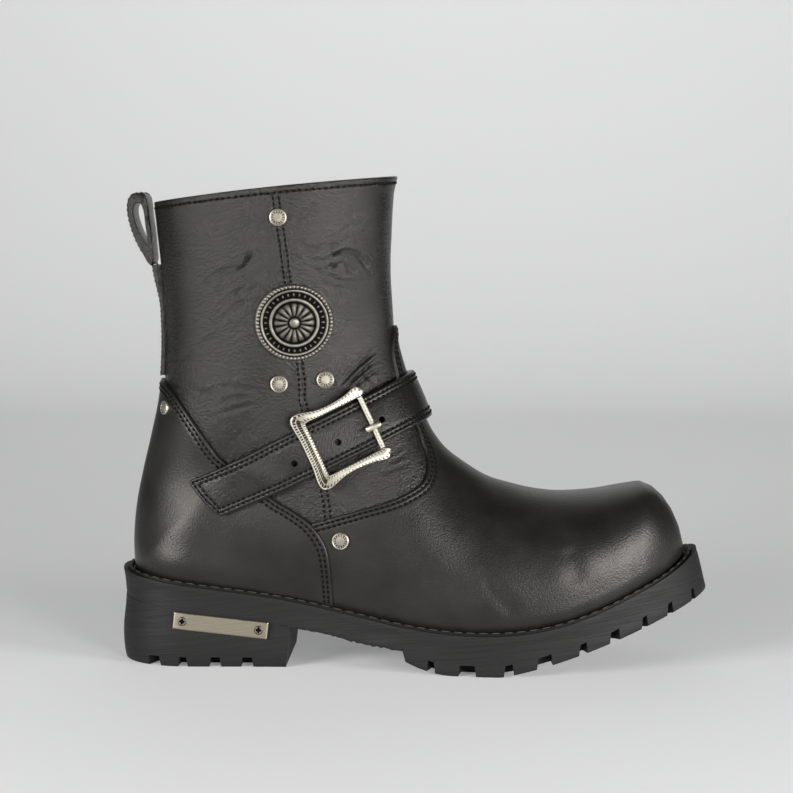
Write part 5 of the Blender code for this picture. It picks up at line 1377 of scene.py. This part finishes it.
def makeWelt():
    points = np.stack([weltLine(*row) for row in weltRows], 1)
    faces = ringFaces(*points.shape[:2], closeRows=True)
    settle(makePiece("welt_leather", points, faces, ["welt"]), "welt_leather", "welt")
    line = weltLine(*weltSewn)
    makeStitches("welt_stitches", [np.concatenate([line, line[:1]])], weltStitch, "welt_leather", "weltThread")


# the heel plate

plate = {"x": -101.9, "z": 22.8, "halfLong": 25.2, "halfHigh": 4.5, "thick": 1.2, "lean": math.radians(-6.4),
         "columns": 40, "rows": 9, "screwAt": 20.4, "screwSides": 48, "socket": 1.6, "star": 0.28}
plateEdge = np.array([0.0, 0.0, 0.25, 0.6, 1.0])
plateRise = np.array([-1.2, -0.35, -0.1, 0.0, 0.0])
screwRows = [(0.0, 0.1, 1.0), (0.5, 0.1, 1.0), (0.95, 0.12, 1.0), (1.2, 0.3, 0.9), (1.4, 0.45, 0.45), (1.75, 0.5, 0.0),
             (1.95, 0.45, 0.1), (2.1, 0.2, 0.9), (2.25, 0.45, 0.3), (2.4, 0.35, 0.3), (2.4, 0.0, 0.6)]


def onHeelSide(along, up, height):
    lean = plate["lean"]
    x = plate["x"] + along * math.cos(lean) - up * math.sin(lean)
    z = plate["z"] + along * math.sin(lean) + up * math.cos(lean)
    ring = dict(heelRing(heelWidest), inset=0.0)
    return np.stack([x, outline(x, ring, "lateral") - gap - height, z], -1)


def makePlate():
    def stops(half, count):
        return np.concatenate([plateEdge - half, np.linspace(1 - half, half - 1, count)[1:-1], half - plateEdge[::-1]])

    def edgeRises(count):
        return np.concatenate([plateRise, np.zeros(count - 2), plateRise[::-1]])

    along, up = np.meshgrid(stops(plate["halfLong"], plate["columns"]), stops(plate["halfHigh"], plate["rows"]),
                            indexing="ij")
    rise = np.minimum(edgeRises(plate["columns"])[:, None], edgeRises(plate["rows"]))
    points = onHeelSide(along, up, plate["thick"] + rise)
    number = np.arange(along.size).reshape(along.shape)
    under = [*number[0], *number[1:, -1], *number[-1, -2::-1], *number[-2:0:-1, 0]]
    piece = makePiece("heel_plate_metal", points, [*gridFaces(*along.shape), under], ["plate"])
    settle(piece, "plate", "heel_plate")
    turn = circle(plate["screwSides"])
    radius, height, recess = [column[:, None] for column in np.array(screwRows).T]
    reach = radius * (1 + plate["star"] * np.cos(4 * turn) * (radius < plate["socket"]))
    faces = [*ringFaces(*reach.shape), range(reach.size - plate["screwSides"], reach.size)]
    for node, place in (("plate_screw_back", -plate["screwAt"]), ("plate_screw_front", plate["screwAt"])):
        points = onHeelSide(place + reach * np.cos(turn), reach * np.sin(turn), plate["thick"] + height + 0 * turn)
        piece = makePiece(node + "_metal", points, faces, ["silver"], recess=recess + 0 * turn, weld=0.01)
        settle(piece, "plate", node)


# the back strip and the pull loop

strip = {"half": 10.0, "thick": 2.2, "under": 0.05, "root": 2.4, "rootHigh": 24, "low": 153.6, "top": 212.8,
         "axisX": -75.0, "stitchAway": 2.3, "stitchLift": 0.1,
         "loopStitch": 7.7, "loopSewn": (math.radians(80), math.radians(272)), "loopSink": 0.05}
stripAway = np.array([0.0, 0.2, 0.6, 1.2, 1.8, 2.3, 2.8, 3.6, 5.5, 7.5, 10.0])
stripRise = np.array([-0.7, -0.25, 0.0, 0.05, -0.05, -0.28, -0.02, 0.06, 0.08, 0.1, 0.1])
stripStitch = {"pitch": 2.7, "length": 1.4, "thick": 0.75, "hole": 1.1, "holeLength": 1.8}
loopOuter = smoothPath([(-139.6, 214.0), (-142.0, 212.6), (-145.2, 218.0), (-149.2, 225.5), (-152.2, 234.0),
                        (-153.6, 241.5), (-153.2, 247.0), (-151.0, 250.3), (-147.6, 251.0), (-144.4, 250.2),
                        (-142.9, 247.4), (-142.0, 239.0), (-140.9, 230.0), (-139.6, 214.0)], 8)
loopGap = smoothPath([(-142.9, 222.6), (-146.0, 227.4), (-148.9, 234.4), (-150.4, 241.0), (-149.4, 245.0),
                      (-146.8, 245.6), (-145.0, 241.6), (-144.2, 235.0), (-143.2, 227.6), (-142.9, 222.6)], 8)
loopMiddle = np.array([-146.7, 237.0])


def makeStrip():
    y = np.concatenate([stripAway - strip["half"], strip["half"] - stripAway[-2::-1]])
    z = np.linspace(strip["low"], strip["top"], 61)
    gridZ, gridY = np.meshgrid(z, y, indexing="ij")
    starts = np.stack([np.full_like(gridY, strip["axisX"]), gridY, gridZ], -1)
    places, normals = onSkinGrid(starts, np.array([-1.0, 0, 0]))
    rise = np.concatenate([stripRise, stripRise[-2::-1]])
    thick = strip["thick"] + strip["root"] * ease(strip["top"] - strip["rootHigh"], strip["top"], gridZ) + rise
    outer = places + normals * (gap + thick)[..., None]
    inner = places + normals * strip["under"]
    shell = shellOf(outer, inner[::2, ::2], 2, whole("start", "end", "left", "right"))
    settle(makePiece("back_strip_leather", *shell, ["shaft"], sharp=50), "shaft_leather", "back_strip")
    i = list(stripAway).index(strip["stitchAway"])
    sewn = places + normals * (gap + thick + strip["stitchLift"])[..., None]
    makeStitches("back_strip_stitches", [sewn[:, i], sewn[:, len(y) - 1 - i]], stripStitch, "shaft_leather")


def makeLoop():
    angle = circle(120)

    def atAngle(path):
        away = path - loopMiddle
        turns = np.unwrap(np.arctan2(away[:, 1], away[:, 0]))
        order = np.argsort(turns)
        reach = np.interp(angle, turns[order], np.linalg.norm(away, axis=1)[order], period=2 * math.pi)
        return loopMiddle + reach[:, None] * np.stack([np.cos(angle), np.sin(angle)], -1)
    outerRun, gapRun = atAngle(loopOuter), atAngle(loopGap)
    wide = np.linalg.norm(outerRun - gapRun, axis=1)
    half = strip["half"]
    face = [(0.0, -8.6), (0.12, -7.7), (0.0, -6.8), (-0.05, 0.0), (0.0, 6.8), (0.12, 7.7), (0.0, 8.6), (0.15, 9.5),
            (0.6, half)]  # depth under the outer run, and place across
    inside = [(-0.5, half), (-0.1, 9.5), (0.0, 8.6), (0.0, -8.6), (-0.1, -9.5), (-0.5, -half)]  # from the inner run
    insets = [(inset + 0 * wide, y) for inset, y in face] + [(wide + inset, y) for inset, y in inside]
    insets += [(inset + 0 * wide, y) for inset, y in ((0.6, -half), (0.15, -9.5))]
    rows = []
    for inset, y in insets:
        place = outerRun + (gapRun - outerRun) * np.clip(inset / wide, -0.05, 1)[:, None]
        rows.append(np.stack([place[:, 0], np.full_like(angle, y), place[:, 1]], -1))
    points = np.stack(rows, 1)
    faces = ringFaces(*points.shape[:2], closeRows=True)
    settle(makePiece("pull_loop_leather", points, faces, ["shaft"], sharp=50), "shaft_leather", "pull_loop")
    sewn = outerRun[(angle > strip["loopSewn"][0]) & (angle < strip["loopSewn"][1])]
    lines = [np.stack([sewn[:, 0] - strip["loopSink"], np.full(len(sewn), y), sewn[:, 1]], -1)
             for y in (-strip["loopStitch"], strip["loopStitch"])]
    makeStitches("pull_loop_stitches", lines, stripStitch, "shaft_leather")


makeStrap()
makeBuckle()
makeTrim()
print("strap and trim ready")
makeOutsole()
makeHeel()
makeInsole()
makeWelt()
makePlate()
makeStrip()
makeLoop()
print("sole and back ready")


# camera, floor and light

view = {"azimuth": 2.5, "away": 1200.0, "high": 262.0, "pitch": 5.73, "target": -10.0, "focalPixels": 2232.0, "pixels": 793}


def makeCamera():
    data = bpy.data.cameras.new("camera")
    camera = newObject("camera", data)
    turn = math.radians(view["azimuth"])
    drop = view["away"] * math.tan(math.radians(view["pitch"]))
    target = Vector((view["target"], 0, view["high"] - drop)) * mm + Vector(shift)
    place = Vector((view["target"] + view["away"] * math.sin(turn), -view["away"] * math.cos(turn), view["high"]))
    camera.location = place * mm + Vector(shift)
    camera.rotation_euler = (target - camera.location).to_track_quat("-Z", "Y").to_euler()
    data.sensor_width = 36.0
    data.lens = data.sensor_width * view["focalPixels"] / view["pixels"]
    bpy.context.scene.camera = camera


paper = {"left": -1.0, "right": 0.85, "front": -3.0, "bendAt": 1.2, "bend": 0.8, "top": 4.0}  # in metres


def makeFloor():
    start, bend = paper["bendAt"], paper["bend"]
    profile = [(paper["front"], 0.0), (start, 0.0)]
    profile += [(start + bend * math.sin(a), bend - bend * math.cos(a)) for a in np.linspace(0.1, math.pi / 2, 12)]
    profile += [(start + bend, paper["top"])]
    points = [(x, y, z) for y, z in profile for x in (paper["left"], paper["right"])]
    mesh = bpy.data.meshes.new("floor")
    mesh.from_pydata(points, [], gridFaces(len(profile), 2)[:, ::-1].tolist())
    mesh.shade_smooth()
    material, _, shader = newMaterial("floorPaper")
    shader["Base Color"].default_value = (0.74, 0.74, 0.74, 1.0)
    shader["Emission Color"].default_value = (0.99, 0.995, 1.0, 1.0)
    shader["Emission Strength"].default_value = 0.19
    shader["Roughness"].default_value = 0.9
    mesh.materials.append(material)
    floor = newObject("floor", mesh)


lamps = {  # place, aim, size across and up, power, in metres and watts
    "leftBox": ((-1.1, -1.0, 0.36), (-0.06, 0.0, 0.14), (0.75, 0.6), 23.0),
    "rightBox": ((1.35, -0.75, 0.24), (0.0, 0.0, 0.12), (0.6, 0.45), 24.0),
    "frontBox": ((0.72, -1.3, 0.27), (0.06, 0.0, 0.08), (0.42, 0.42), 13.0),
    "backBox": ((0.0, 0.5, 1.5), (0.0, 2.4, 0.95), (1.6, 0.6), 6.0),
}


def makeLights():
    for name, (place, aim, size, power) in lamps.items():
        data = bpy.data.lights.new(name, "AREA")
        data.shape = "RECTANGLE"
        data.size, data.size_y = size
        data.energy = power
        lamp = newObject(name, data)
        lamp.location = place
        lamp.rotation_euler = (Vector(aim) - Vector(place)).to_track_quat("-Z", "Y").to_euler()
    world = bpy.data.worlds.new("studio")
    world.use_nodes = True
    background = world.node_tree.nodes["Background"].inputs
    background["Color"].default_value = (0.96, 0.97, 0.98, 1.0)
    background["Strength"].default_value = 0.03
    bpy.context.scene.world = world
    bpy.context.scene.view_settings.view_transform = "Standard"


makeCamera()
makeFloor()
makeLights()
